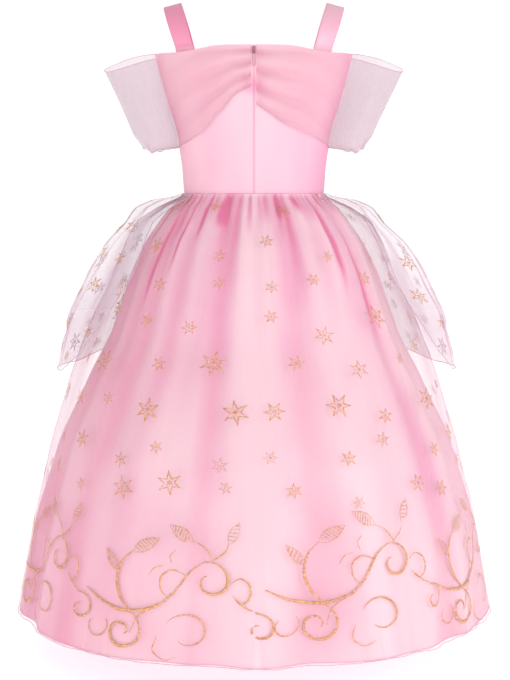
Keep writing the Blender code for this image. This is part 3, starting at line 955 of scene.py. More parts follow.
@dataclass(frozen=True)
class SkirtForm:
    """The shape of the satin skirt and the organza over it."""

    satin_length: float = 0.6425
    sheer_length: float = 0.6435
    front_shift: float = 5.0
    fold_share: float = 0.6
    hem_waves: int = 9
    hem_depth: float = 0.003
    hem_spread: float = 0.0050
    gathers: int = 58
    gather_rise: float = 0.0026
    print_apex: float = 0.603
    print_slant: float = 1.047
    print_sector: float = 0.275
    # Depths at which a fold trough or a waist crease reaches full painted shade.
    full_trough: float = 0.010
    full_gather: float = 0.0046
    sheer_gather: float = 0.0056

    def read(self, column: str, drop: Array) -> Array:
        """Reads one of the sections' sizes at a drop below the waist."""
        return table_curve(SKIRT_SECTIONS, "drop", column).at(drop)

    def troughs(self, theta: Array, drop: Array) -> Array:
        """How deep the main folds' troughs are.

        Args:
            theta: Angles round the body in degrees, from the wearer's left side to the back.
            drop: Metres below the waist.

        Returns:
            Depths in metres.
        """
        turn = np.mod(theta, 360.0)
        facing = np.where(turn <= 180, turn, 360 - turn + self.front_shift)
        total = np.zeros(np.broadcast(theta, drop).shape)
        for fold in BACK_FOLDS:
            middle = mix(fold.waist_deg, fold.hem_deg, drop / self.satin_length)
            shape = bump((facing - middle) / fold.half_deg)
            rise = smoothstep(fold.start, fold.start + 0.05, drop)
            fall = 1 - smoothstep(fold.end - 0.14, fold.end, drop)
            total = total + fold.depth * shape * rise * fall
        return total

    def gather(self, theta: Array, drop: Array) -> Array:
        """How deep the small creases are that run down from the gathered waist.

        Args:
            theta: Degrees round the body.
            drop: Metres below the waist.

        Returns:
            Depths in metres.
        """
        picks = np.random.default_rng(5)
        total = np.zeros(np.broadcast(theta, drop).shape)
        pitch = 360.0 / self.gathers
        for k in range(self.gathers):
            middle = (k + picks.uniform(-0.3, 0.3)) * pitch
            half = pitch * picks.uniform(0.24, 0.48)
            depth = picks.uniform(0.0012, 0.0042)
            length = picks.choice((0.035, 0.05, 0.07, 0.11, 0.18), p=(0.3, 0.3, 0.2, 0.12, 0.08))
            across = bump(degrees_from(middle, theta) / (half * (1 + 1.2 * drop / length)))
            rise = 0.35 + 0.65 * smoothstep(0.0, 0.008, drop)
            total = total + depth * across * rise * (1 - smoothstep(0.2 * length, length, drop))
        return total + self.pockets("depth", theta, drop)

    def hem_wave(self, theta: Array, drop: Array) -> Array:
        """The low waves of the two hems, the same on both.

        Args:
            theta: Degrees round the body.
            drop: Metres below the waist.

        Returns:
            Metres outward.
        """
        turn = np.radians(theta)
        wave = np.sin(self.hem_waves * turn + 1.3 * np.sin(4 * turn))
        return self.hem_depth * wave * smoothstep(0.25, self.satin_length, drop)

    def seam(self, theta: Array, drop: Array) -> Array:
        """The narrow dip along the centre back and side seams."""
        away = np.minimum.reduce([np.abs(degrees_from(seam, theta)) for seam in (0.0, 90.0, 180.0)])
        return 0.0005 * bump(away / 0.4) * (1 - 0.9 * smoothstep(0.07, 0.09, drop))

    def satin(self, theta: Array, drop: Array) -> Array:
        """Works out the satin skirt's outer face.

        Args:
            theta: Degrees round the body.
            drop: Metres below the waist.

        Returns:
            Points on it.
        """
        small = self.gather(theta, drop)
        out = self.hem_wave(theta, drop) - self.troughs(theta, drop) - small + self.rise(drop)
        out = out - self.seam(theta, drop) + self.wobble(theta, drop, 3, 0.0008)
        out = out + self.hem_spread * smoothstep(0.40, self.satin_length, drop)
        wide = self.read("satin_wide", drop) + out
        deep = self.read("satin_deep", drop) + out
        return self.place(theta, drop, wide, deep)

    def sheer(self, theta: Array, drop: Array) -> Array:
        """Works out the overskirt's outer face.

        Args:
            theta: Degrees round the body.
            drop: Metres below the waist.

        Returns:
            Points on it.
        """
        small = self.gather(theta, drop)
        out = self.hem_wave(theta, drop) - self.fold_share * self.troughs(theta, drop)
        out = out - small + self.rise(drop) - self.seam(theta, drop)
        out = out + self.wobble(theta, drop, 8, 0.0012) + self.frill(theta, drop)
        wide = self.read("sheer_wide", drop) + out
        deep = self.read("sheer_deep", drop) + out
        return self.place(theta, drop, wide, deep)

    def rise(self, drop: Array) -> Array:
        """How far the crests between the small creases stand out near the waist."""
        near = 0.3 + 0.7 * smoothstep(0.0, 0.01, drop)
        return self.gather_rise * near * (1 - smoothstep(0.03, 0.15, drop))

    def wobble(self, theta: Array, drop: Array, seed: int, size: float) -> Array:
        """Soft unevenness that grows below the waist.

        Args:
            theta: Degrees round the body.
            drop: Metres below the waist.
            seed: Which unevenness.
            size: Its greatest depth.

        Returns:
            Metres outward.
        """
        turn = np.radians(theta)
        steady = Ripple(seed, size).at(turn, drop, 11.0) + Ripple(seed + 1, size * 0.6).at(turn, drop, 27.0)
        return steady * smoothstep(0.04, 0.16, drop)

    def frill(self, theta: Array, drop: Array) -> Array:
        """The light flutter of the organza's free hem."""
        flutter = Ripple(21, 0.0012).at(np.radians(theta), drop, 40.0)
        return flutter * smoothstep(0.50, self.sheer_length, drop)

    def place(self, theta: Array, drop: Array, wide: Array, deep: Array) -> Array:
        """Puts half sizes at an angle and a drop into space.

        Args:
            theta: Degrees round the body.
            drop: Metres below the waist.
            wide: Half widths there.
            deep: Half depths there.

        Returns:
            Points.
        """
        turn = np.radians(theta)
        level = SKIRT_TOP_Z - drop + 0.0 * turn
        return np.stack((wide * np.cos(turn), deep * np.sin(turn), level), axis=-1)

    def shade(self, theta: Array, drop: Array) -> Array:
        """Painted light and shade of the satin: 0 is a painted highlight on the broad crests, 1 painted shade
        deep in a fold.

        Args:
            theta: Degrees round the body.
            drop: Metres below the waist.

        Returns:
            Shares from 0 to 1.
        """
        turn = np.radians(theta)
        level = table_curve(SATIN_SHADE_BANDS, "deg", "share").at(np.mod(theta, 360.0))
        # Painted shade: deeper towards the lower back on the wearer's left.
        level = level + 0.10 * bump((theta - 35.0) / 38.0) * smoothstep(0.36, 0.60, drop)
        level = level + Ripple(51, 0.06).at(turn, drop, 7.0) + Ripple(52, 0.05).at(turn, drop, 21.0)
        # Painted shade in the fold troughs and the small waist creases.
        deep = 0.20 * self.troughs(theta, drop) / self.full_trough
        deep = deep + 0.9 * self.gather(theta, drop) / self.full_gather
        return np.clip(level + deep + self.pockets("shade", theta, drop), 0, 1)

    def veil(self, theta: Array, drop: Array) -> Array:
        """How closely the organza is gathered, most at the sides and in its small creases; in the creases
        this is also painted shade.

        Args:
            theta: Degrees round the body.
            drop: Metres below the waist.

        Returns:
            Shares from 0 to 1.
        """
        turn = np.radians(theta)
        side = smoothstep(0.82, 0.99, np.abs(np.cos(turn)))
        streaks = Ripple(71, 0.10).at(turn, drop, 26.0) + Ripple(72, 0.07).at(turn, drop, 61.0)
        # In the small creases the share adds cover and, through the deeper doubled colour, painted shade.
        creases = self.gather(theta, drop) / self.sheer_gather
        return np.clip(0.12 + streaks + 0.3 * creases + 0.5 * side, 0, 1)

    def pockets(self, column: str, theta: Array, drop: Array) -> Array:
        """Adds up the deep pockets between the largest gathers.

        Args:
            column: Which of a pocket's values is added, its depth or its shade.
            theta: Degrees round the body.
            drop: Metres below the waist.

        Returns:
            The sums.
        """
        total = np.zeros(np.broadcast(theta, drop).shape)
        for pocket in WAIST_POCKETS:
            across = bump((theta - pocket.deg) / pocket.half_deg)
            total = total + getattr(pocket, column) * across * bump((drop - pocket.drop) / pocket.half_drop)
        return total

    def printed(self, theta: Array, drop: Array) -> Array:
        """Opens the skirt out flat as a sector, so that a print keeps its shape.

        Args:
            theta: Degrees round the body.
            drop: Metres below the waist.

        Returns:
            Flat places in metres.
        """
        reach = self.print_apex + self.print_slant * drop
        turn = np.radians(theta) * self.print_sector
        return np.stack((reach * np.cos(turn), reach * np.sin(turn)), axis=-1)


PANELS = (("back_left", 0.0, 90.0), ("back_right", 90.0, 180.0), ("front", 180.0, 360.0))


@dataclass
class Skirts:
    """The satin skirt and the organza overskirt, each of a front and two back panels."""

    form: SkirtForm = field(default_factory=SkirtForm)
    seam_lap: float = 0.00012
    satin_thick: float = 0.0011
    sheer_thick: float = 0.0005
    satin_rows: int = 84
    sheer_rows: int = 100
    step_deg: float = 0.5
    front_step_deg: float = 0.75
    hem_width: float = 0.56
    top_width: float = 0.24
    cut_radius: float = 0.36
    satin_hem_radius: float = 0.0010
    hem_steps: int = 480

    def cloth(
        self,
        name: str,
        surface: Callable[[Array, Array], Array],
        start: float,
        end: float,
        length: float,
        rows: int,
        thickness: float,
    ) -> Cloth:
        """Works out one panel.

        Args:
            name: The panel's name.
            surface: Its outer face by angle and drop.
            start: Its first seam's angle.
            end: Its last seam's angle.
            length: Its length below the waist.
            rows: Spaces down the panel.
            thickness: Its cloth's thickness.

        Returns:
            The panel's grid and maps.
        """
        columns = round((end - start) / (self.front_step_deg if start >= 180 else self.step_deg))
        across, down = grid(rows, columns, 1.35)
        drop = down * length
        lap = self.seam_lap if thickness == self.satin_thick else 0.0
        trim = -np.degrees(lap / self.form.read("satin_deep", drop))
        theta = mix(start + trim, end - trim, across)
        points = surface(theta, drop)
        cut = np.stack((np.radians(theta) * self.cut_radius, drop * self.form.print_slant), axis=-1)
        printed = self.form.printed(theta, drop)
        shade = self.form.shade if thickness == self.satin_thick else self.form.veil
        return Cloth(name, points, cut, thickness, shade(theta, drop), printed)

    def build(self, room: Workroom, laid: "Print") -> None:
        """Args:
            room: The finishes and tools.
            laid: The glitter print.
        """
        form = self.form
        for word, start, end in PANELS:
            share = (end - start) / 90.0
            flat = (self.hem_width * share, form.sheer_length * form.print_slant)
            under = self.cloth(
                "satin_" + word, form.satin, start, end, form.satin_length, self.satin_rows, self.satin_thick
            )
            skirt = under.thicken(under.skin(room.satin))
            node = "skirt_" + word
            declare_sheet(skirt, node, flat, Held.GATHERED)
            over = self.cloth(
                "sheer_" + word, form.sheer, start, end, form.sheer_length, self.sheer_rows, self.sheer_thick
            )
            sheer = over.skin(room.organza)
            prints = laid.lay_on(sheer, word)
            over.thicken(sheer)
            declare_sheet(sheer, "over" + node, flat, Held.GATHERED)
            for piece in prints:
                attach(piece, DRESS_BODY)

    def hems(self, room: Workroom) -> None:
        """Adds the organza's rolled hem and the satin's.

        Args:
            room: The finishes and tools.
        """
        theta = np.linspace(0, 360, self.hem_steps, endpoint=False)
        low = self.form.sheer(theta, np.full_like(theta, self.form.sheer_length))
        roll = room.tool.rolled_edge("sheer_hem", low, room.rolled, closed=True)
        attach(roll, DRESS_BODY)
        low = self.form.satin(theta, np.full_like(theta, self.form.satin_length))
        roll = room.tool.rolled_edge("satin_hem", low, room.thread, self.satin_hem_radius, True)
        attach(roll, DRESS_BODY)


# Side drapes


@dataclass(frozen=True)
class DrapeReach:
    """How long a side drape hangs at a share of its way round from the side."""

    share: float
    back: float
    front: float


DRAPE_EDGE = (
    DrapeReach(0.00, 0.268, 0.268),
    DrapeReach(0.35, 0.268, 0.268),
    DrapeReach(0.65, 0.243, 0.252),
    DrapeReach(0.85, 0.198, 0.215),
    DrapeReach(1.00, 0.120, 0.140),
)


@dataclass(frozen=True)
class DrapeCrease:
    """One slanted crease of a side drape, by its places at the waist and at the hem."""

    top: float
    foot: float
    half: float
    depth: float
    end: float


DRAPE_CREASES = (
    DrapeCrease(0.55, 0.15, 0.09, 0.9, 0.95),
    DrapeCrease(0.20, -0.12, 0.07, 0.7, 0.85),
    DrapeCrease(0.80, 0.62, 0.07, 0.8, 0.70),
    DrapeCrease(-0.10, 0.30, 0.06, 0.6, 1.10),
    DrapeCrease(-0.35, -0.55, 0.08, 0.8, 0.90),
    DrapeCrease(-0.60, -0.35, 0.07, 0.6, 1.00),
    DrapeCrease(-0.80, -0.75, 0.06, 0.7, 0.60),
)


@dataclass
class SideDrapes:
    """The two organza drapes gathered into the waist at the sides, standing off the overskirt."""

    form: SkirtForm
    side: Side
    back_reach: float
    swing: float = 0.0
    puff: float = 0.012
    front_reach: float = 52.0
    thickness: float = 0.0005
    clear: float = 0.0022
    folds: int = 5
    fold_depth: float = 0.006
    rows: int = 80
    columns: int = 130
    cut_radius: float = 0.27
    cut_length: float = 0.31
    cut_filled: float = 0.72

    def points(self, place: Array, down: Array) -> tuple[Array, Array]:
        """Works out the left drape's outer face.

        Args:
            place: From its front edge (-1) to its back edge (1).
            down: Shares of its length there.

        Returns:
            Points, and the drop at each.
        """
        share = np.clip(np.abs(place), 0, 1)
        theta = place * np.where(place >= 0, self.back_reach, self.front_reach)
        back = table_curve(DRAPE_EDGE, "share", "back").at(share)
        front = table_curve(DRAPE_EDGE, "share", "front").at(share)
        drop = down * np.where(place >= 0, back, front)
        near = self.form.read("sheer_wide", drop) + self.clear
        off = (self.form.read("drape_wide", drop) - near) * (1 - share**2)
        swell = np.sin(math.pi * np.minimum(1.0, down * 1.25)) ** 2
        wave = np.sin(math.pi * self.folds * place + 2.2 * down) * swell
        off = off + self.fold_depth * (0.5 + 0.5 * wave) * smoothstep(0.0, 0.3, down) * (1 - share)
        off = off + Ripple(31 + self.side.value, 0.0016).at(place * 3, drop, 6.0) * swell * (1 - share)
        off = off - 0.004 * self.creases(place, down) * (1 - share**2)
        head = self.puff * bump((drop - 0.018) / 0.030) * smoothstep(0.0, 0.010, drop)
        off = off + (head + self.swing * smoothstep(0.03, 0.10, drop)) * (1 - share**2)
        small = self.form.gather(theta, drop) * 0.8
        wide = near + np.maximum(0.0, off) - small + self.form.rise(drop)
        deep = self.form.read("sheer_deep", drop) + self.clear - small + self.form.rise(drop)
        return self.form.place(theta, drop, wide, deep), drop

    def creases(self, place: Array, down: Array) -> Array:
        """How deep the slanted creases are that run down from the drape's gathers.

        Args:
            place: From the drape's front edge (-1) to its back edge (1).
            down: Shares of its length there.

        Returns:
            Shares from 0 to 1.
        """
        total = np.zeros(np.broadcast(place, down).shape)
        for crease in DRAPE_CREASES:
            middle = mix(crease.top, crease.foot, down)
            reach = smoothstep(0.0, 0.05, down) * (1 - smoothstep(crease.end - 0.25, crease.end, down))
            total = total + crease.depth * bump((place - middle) / (crease.half * (0.5 + down))) * reach
        crumple = bump((place - 0.05) / 0.35) * bump((down - 0.78) / 0.06)
        return np.clip(total + 0.7 * crumple, 0, 1)

    def build(self, room: Workroom, laid: "Print") -> None:
        """Args:
            room: The finishes and tools.
            laid: The glitter print.
        """
        across, down = grid(self.rows, self.columns, 1.2)
        place = mix(-1.0, 1.0, across)
        points, drop = self.points(place, down)
        reach = np.where(place >= 0, self.back_reach, self.front_reach)
        width = np.radians(place * reach) * self.form.read("sheer_wide", drop)
        flat = np.stack((width, drop * 1.1), axis=-1)
        # Painted shade in the gathers and creases, and darker towards the drape's foot.
        depth = 0.2 * self.form.gather(place * reach, drop) / self.form.sheer_gather
        depth = depth + self.creases(place, down)
        depth = depth + 0.45 * smoothstep(0.25, 0.85, down)
        name = "side_sheer_" + self.side.word
        cloth = Cloth(name, points, flat, self.thickness, np.clip(depth, 0, 1), flat)
        if self.side is Side.RIGHT:
            cloth = cloth.mirrored()
        piece = cloth.skin(room.gathered)
        prints = laid.lay_on_drape(piece, self.side)
        cloth.thicken(piece)
        rim = np.concatenate((cloth.points[:, 0], cloth.points[-1, 1:], cloth.points[::-1, -1][1:]))
        roll = room.tool.rolled_edge("side_hem_" + self.side.word, rim, room.rolled)
        for extra in (*prints, roll):
            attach(extra, DRESS_BODY)
        spread = math.radians(self.back_reach + self.front_reach) * self.cut_radius
        node = "side_drape_" + self.side.word
        declare_sheet(piece, node, (spread, self.cut_length), Held.GATHERED)


# Bodice, band and sleeves


@dataclass(frozen=True)
class BodiceSection:
    """Half sizes of the bodice's outer face at one level, and where the armhole cuts it."""

    z: float
    wide: float
    deep: float
    armhole_y: float


BODICE_SECTIONS = (
    BodiceSection(-0.280, 0.1070, 0.0800, 0.0),
    BodiceSection(-0.245, 0.1095, 0.0812, 0.0),
    BodiceSection(-0.213, 0.1137, 0.0825, 0.0),
    BodiceSection(-0.209, 0.1147, 0.0827, 0.012),
    BodiceSection(-0.199, 0.1175, 0.0831, 0.020),
    BodiceSection(-0.179, 0.1250, 0.0840, 0.026),
    BodiceSection(-0.143, 0.1390, 0.0850, 0.030),
    BodiceSection(-0.105, 0.1520, 0.0855, 0.033),
    BodiceSection(-0.064, 0.1650, 0.0853, 0.036),
)


@dataclass(frozen=True)
class BandEdge:
    """The level of the organza band's lower edge, from the centre gather to the armhole."""

    share: float
    left_z: float
    right_z: float


BAND_EDGE = (
    BandEdge(0.00, -0.124, -0.150),
    BandEdge(0.12, -0.134, -0.163),
    BandEdge(0.30, -0.164, -0.180),
    BandEdge(0.55, -0.194, -0.193),
    BandEdge(0.80, -0.206, -0.204),
    BandEdge(1.00, -0.2115, -0.2115),
)


@dataclass(frozen=True)
class BodiceForm:
    """The shape of the fitted bodice."""

    back_neck_z: float = -0.064
    front_neck_z: float = -0.070
    corner_z: float = -0.0735

    def read(self, column: str, z: Array) -> Array:
        """Reads one of the sections' sizes at a level."""
        return table_curve(BODICE_SECTIONS, "z", column).at(z)

    def neck(self, theta: Array, facing: Facing) -> Array:
        """The level of the top edge at an angle in degrees."""
        middle = self.back_neck_z if facing is Facing.BACK else self.front_neck_z
        return mix(middle, self.corner_z, smoothstep(0.35, 0.92, np.abs(np.cos(np.radians(theta)))))

    def edge_angle(self, z: Array) -> Array:
        """The angle from the side at which the armhole or the side seam ends a panel."""
        cut = np.maximum(SEAM_HALF_GAP, self.read("armhole_y", z))
        return np.degrees(np.arcsin(cut / self.read("deep", z)))

    def point(self, theta: Array, z: Array, out: Any = 0.0) -> Array:
        """Finds points outside the bodice's outer face.

        Args:
            theta: Degrees round the body.
            z: Their levels.
            out: How far outside they lie.

        Returns:
            The points.
        """
        turn = np.radians(theta)
        wide = self.read("wide", z) + out
        deep = self.read("deep", z) + out
        return np.stack((wide * np.cos(turn), deep * np.sin(turn), z + 0.0 * turn), axis=-1)


@dataclass
class Bodice:
    """The satin bodice: a front and two back panels that meet at the zip."""

    form: BodiceForm = field(default_factory=BodiceForm)
    thickness: float = 0.0012
    rows: int = 70
    columns: int = 70
    seam_radius: float = 0.11
    cut_radius: float = 0.115
    cut_length: float = 0.225
    cut_filled: float = 0.88

    def back_half(self, name: str) -> Cloth:
        """Works out the left back panel.

        Args:
            name: The panel's name.

        Returns:
            Its grid and maps, from the side seam to the zip.
        """
        across, down = grid(self.rows, self.columns)
        zip_edge = 90.0 - math.degrees(SEAM_HALF_GAP / self.seam_radius)
        return self.panel(name, across, down, self.form.edge_angle, lambda z: zip_edge + 0 * z, Facing.BACK)

    def panel(
        self,
        name: str,
        across: Array,
        down: Array,
        start: Callable[[Array], Array],
        end: Callable[[Array], Array],
        facing: Facing,
    ) -> Cloth:
        """Works out one panel.

        Args:
            name: The panel's name.
            across: Shares from its first edge to its last.
            down: Shares from the neckline to the waist.
            start: Its first edge's angle by level.
            end: Its last edge's angle by level.
            facing: The half of the body it lies on.

        Returns:
            The panel's grid and maps.
        """
        low = np.full_like(across, WAIST_Z)
        rough = mix(start(low), end(low), across)
        z = mix(self.form.neck(rough, facing), WAIST_Z, down)
        theta = mix(start(z), end(z), across)
        turn = np.radians(theta)
        pull = Ripple(41, 0.0005).at(turn, z * 3, 9.0) * smoothstep(WAIST_Z, -0.23, z)
        tuck = -0.0003 * bump((z - WAIST_Z) / 0.004)
        cling = -0.0004 * bump((theta - 90.0) / 0.6) if facing is Facing.BACK else 0.0
        points = self.form.point(theta, z, pull + tuck + cling)
        cut = np.stack((turn * self.cut_radius, z), axis=-1)
        # Painted shade: darker towards the sides, where the bodice turns from the light.
        side = smoothstep(0.70, 0.99, np.abs(np.cos(turn)))
        crease = 0.15 + 0.30 * side + Ripple(44, 0.07).at(turn, z * 2, 6.0)
        if facing is Facing.BACK:
            # Painted shade in the fold pocket below the centre back neckline, and a darker line along the zip
            # seam.
            centre = bump((theta - 87.5) / 7.0) * bump((z + 0.122) / 0.020)
            crease = crease + 0.2 * bump((theta - 90.0) / 0.5) + 0.32 * centre
        return Cloth(name, points, cut, self.thickness, np.clip(crease, 0, 1))

    def build(self, room: Workroom) -> None:
        """Args:
            room: The finishes and tools.
        """
        left = self.back_half("satin_bodice_left")
        right = self.back_half("satin_bodice_right").mirrored()
        across, down = grid(self.rows, 2 * self.columns)
        edge = self.form.edge_angle
        front = self.panel(
            "satin_bodice_front", across, down, lambda z: 180 + edge(z), lambda z: 360 - edge(z), Facing.FRONT
        )
        for cloth, node, width in (
            (left, "bodice_back_left", 0.165),
            (right, "bodice_back_right", 0.165),
            (front, "bodice_front", 0.33),
        ):
            piece = cloth.thicken(cloth.skin(room.satin))
            declare_sheet(piece, node, (width, self.cut_length), Held.STRETCHED)


@dataclass
class Bertha:
    """The organza band on the bust, gathered at the centre, and the sleeve that it runs into."""

    bodice: BodiceForm
    side: Side
    thickness: float = 0.0005
    edge_x: float = 0.0035
    clear: float = 0.0016
    rows: int = 72
    columns: int = 64
    sleeve_top: tuple[float, float] = (0.226, -0.097)
    sleeve_foot: tuple[float, float] = (0.167, -0.221)
    bulge_top: float = 0.020
    bulge_foot: float = 0.032
    sleeve_rows: int = 56
    sleeve_columns: int = 120
    band_cut: tuple[float, float] = (0.20, 0.19)
    band_filled: float = 0.6
    sleeve_cut: tuple[float, float] = (0.24, 0.155)
    sleeve_filled: float = 0.75

    def band(self, across: Array, down: Array, facing: Facing) -> tuple[Array, Array]:
        """Works out the band on the left half, in the left or right half's own cut.

        Args:
            across: Shares from the centre gather to the armhole.
            down: Shares from the neckline to the lower edge.
            facing: The half of the body it lies on.

        Returns:
            Points of the back left half, and the painted shade of each in the folds, from 0 to 1.
        """
        form = self.bodice
        low = table_curve(BAND_EDGE, "share", self.side.word + "_z").at(across)
        middle = form.back_neck_z if facing is Facing.BACK else form.front_neck_z
        top = mix(middle, form.corner_z, smoothstep(0.45, 1.0, across)) - 0.0005
        z = mix(top, low, down)
        outer = 90.0 - np.degrees(self.edge_x / form.read("wide", z))
        theta = mix(outer, form.edge_angle(z), across)
        fade = np.exp(-across / 0.28) * (1 - 0.6 * smoothstep(0.6, 1.0, across))
        phase = 2 * math.pi * (3.3 * down ** (1.0 + 0.4 * across) + 0.25 * np.sin(4 * across) + 0.1)
        folds = (0.5 + 0.5 * np.cos(phase)) * smoothstep(0.03, 0.14, down)
        broad = 0.5 + 0.5 * np.cos(2 * math.pi * (1.4 * down - 0.8 * across))
        size = 0.0065 * fade * smoothstep(0.0, 0.06, across) + 0.0006
        out = self.clear * (1 - 0.75 * smoothstep(0.86, 1.0, across)) + size * folds
        out = out + 0.0035 * broad * bump((across - 0.45) / 0.45) * smoothstep(0.0, 0.2, down)
        fine = 0.5 + 0.5 * np.cos(2.7 * phase + 5.0 * across + 1.6 * np.sin(7 * across))
        fine = fine**2 * smoothstep(0.02, 0.10, down) * smoothstep(0.02, 0.10, across) * (1 - 0.8 * across)
        fine = fine * (0.5 + Ripple(47, 0.5).at(across * 3, down * 0.15, 4.0))
        out = out + 0.0006 * np.clip(fine, 0, 1)
        # Painted shade in the fold troughs, and painted light and shade streaks along the fine folds.
        depth = 0.75 * (1 - folds) * fade * smoothstep(0.03, 0.14, down) + 0.16 * fine
        points = form.point(theta, z, out)
        return points, np.clip(depth, 0, 1)

    def sleeve(self, across: Array, down: Array) -> Array:
        """Works out the left sleeve, from its back edge round the arm to its front edge.

        Args:
            across: Shares round the arm.
            down: Shares from its top edge to its foot.

        Returns:
            Points on its outer face.
        """
        turn = mix(90.0, -90.0, across)
        cos, sin = np.cos(np.radians(turn)), np.sin(np.radians(turn))
        start, _ = self.band(np.ones_like(down), down, Facing.BACK)
        start_x, start_y, start_z = start[..., 0], start[..., 1], start[..., 2]
        far_x = mix(self.sleeve_top[0], self.sleeve_foot[0], down)
        far_z = mix(self.sleeve_top[1], self.sleeve_foot[1], down)
        bulge = mix(self.bulge_top, self.bulge_foot, down)
        flutter = Ripple(61 + self.side.value, 0.0022).at(np.radians(turn), down * 0.2, 7.0) * cos
        ease = 0.3 + 0.7 * smoothstep(0.3, 1.0, down)
        x = mix(start_x, far_x, cos) + flutter * ease
        y = start_y * sin + np.sign(sin) * bulge * np.abs(np.sin(np.radians(2 * turn)))
        y = y + flutter * ease * np.sin(np.radians(2 * turn)) * 0.8
        fall = np.where(cos > 0, np.maximum(cos, 0) ** 1.4, 0.0)
        wave = np.sin(np.radians(turn) * 15.0 + 0.8) + 0.7 * np.sin(np.radians(turn) * 23.0 + 2.1)
        scallop = 0.0013 * wave * cos * smoothstep(0.72, 1.0, down)
        corner = smoothstep(0.75, 1.0, down) * smoothstep(0.80, 1.0, cos)
        z = mix(start_z, far_z, fall) + scallop + 0.009 * corner
        return np.stack((x - 0.0015 * corner, y, z), axis=-1)

    def build(self, room: Workroom) -> None:
        """Args:
            room: The finishes and tools.
        """
        for facing in Facing:
            across, down = grid(self.rows, self.columns)
            points, depth = self.band(1 - across, down, facing)
            cut = np.stack((across * 0.2, down * 0.19), axis=-1)
            name = "sheer_band_%s_%s" % (facing.word, self.side.word)
            cloth = Cloth(name, points, cut, self.thickness, depth)
            if facing is Facing.FRONT:
                cloth.points = points[:, ::-1] * np.array((1.0, -1.0, 1.0))
                cloth.fold = depth[:, ::-1]
            if self.side is Side.RIGHT:
                cloth = cloth.mirrored()
            node = "band_%s_%s" % (facing.word, self.side.word)
            piece = cloth.thicken(cloth.skin(room.banded))
            flat = self.band_cut
            declare_sheet(piece, node, flat, Held.GATHERED)
            self.hem(name + "_hem", cloth.points[-1], room)
        across, down = grid(self.sleeve_rows, self.sleeve_columns)
        points = self.sleeve(1 - across, down)
        cut = np.stack((across * 0.24, down * 0.14), axis=-1)
        cloth = Cloth("sheer_sleeve_" + self.side.word, points, cut, self.thickness)
        if self.side is Side.RIGHT:
            cloth = cloth.mirrored()
        node = "sleeve_" + self.side.word
        piece = cloth.thicken(cloth.skin(room.doubled_and_shaded))
        flat = self.sleeve_cut
        declare_sheet(piece, node, flat, Held.HUNG)
        self.hem("sleeve_foot_" + self.side.word, cloth.points[-1], room)
        self.hem("sleeve_top_" + self.side.word, cloth.points[0], room)

    def hem(self, name: str, path: Array, room: Workroom) -> None:
        """Adds a rolled edge along a path.

        Args:
            name: The edge's name.
            path: Its points.
            room: The finishes and tools.
        """
        roll = room.tool.rolled_edge(name, path, room.rolled)
        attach(roll, DRESS_BODY)


# Straps


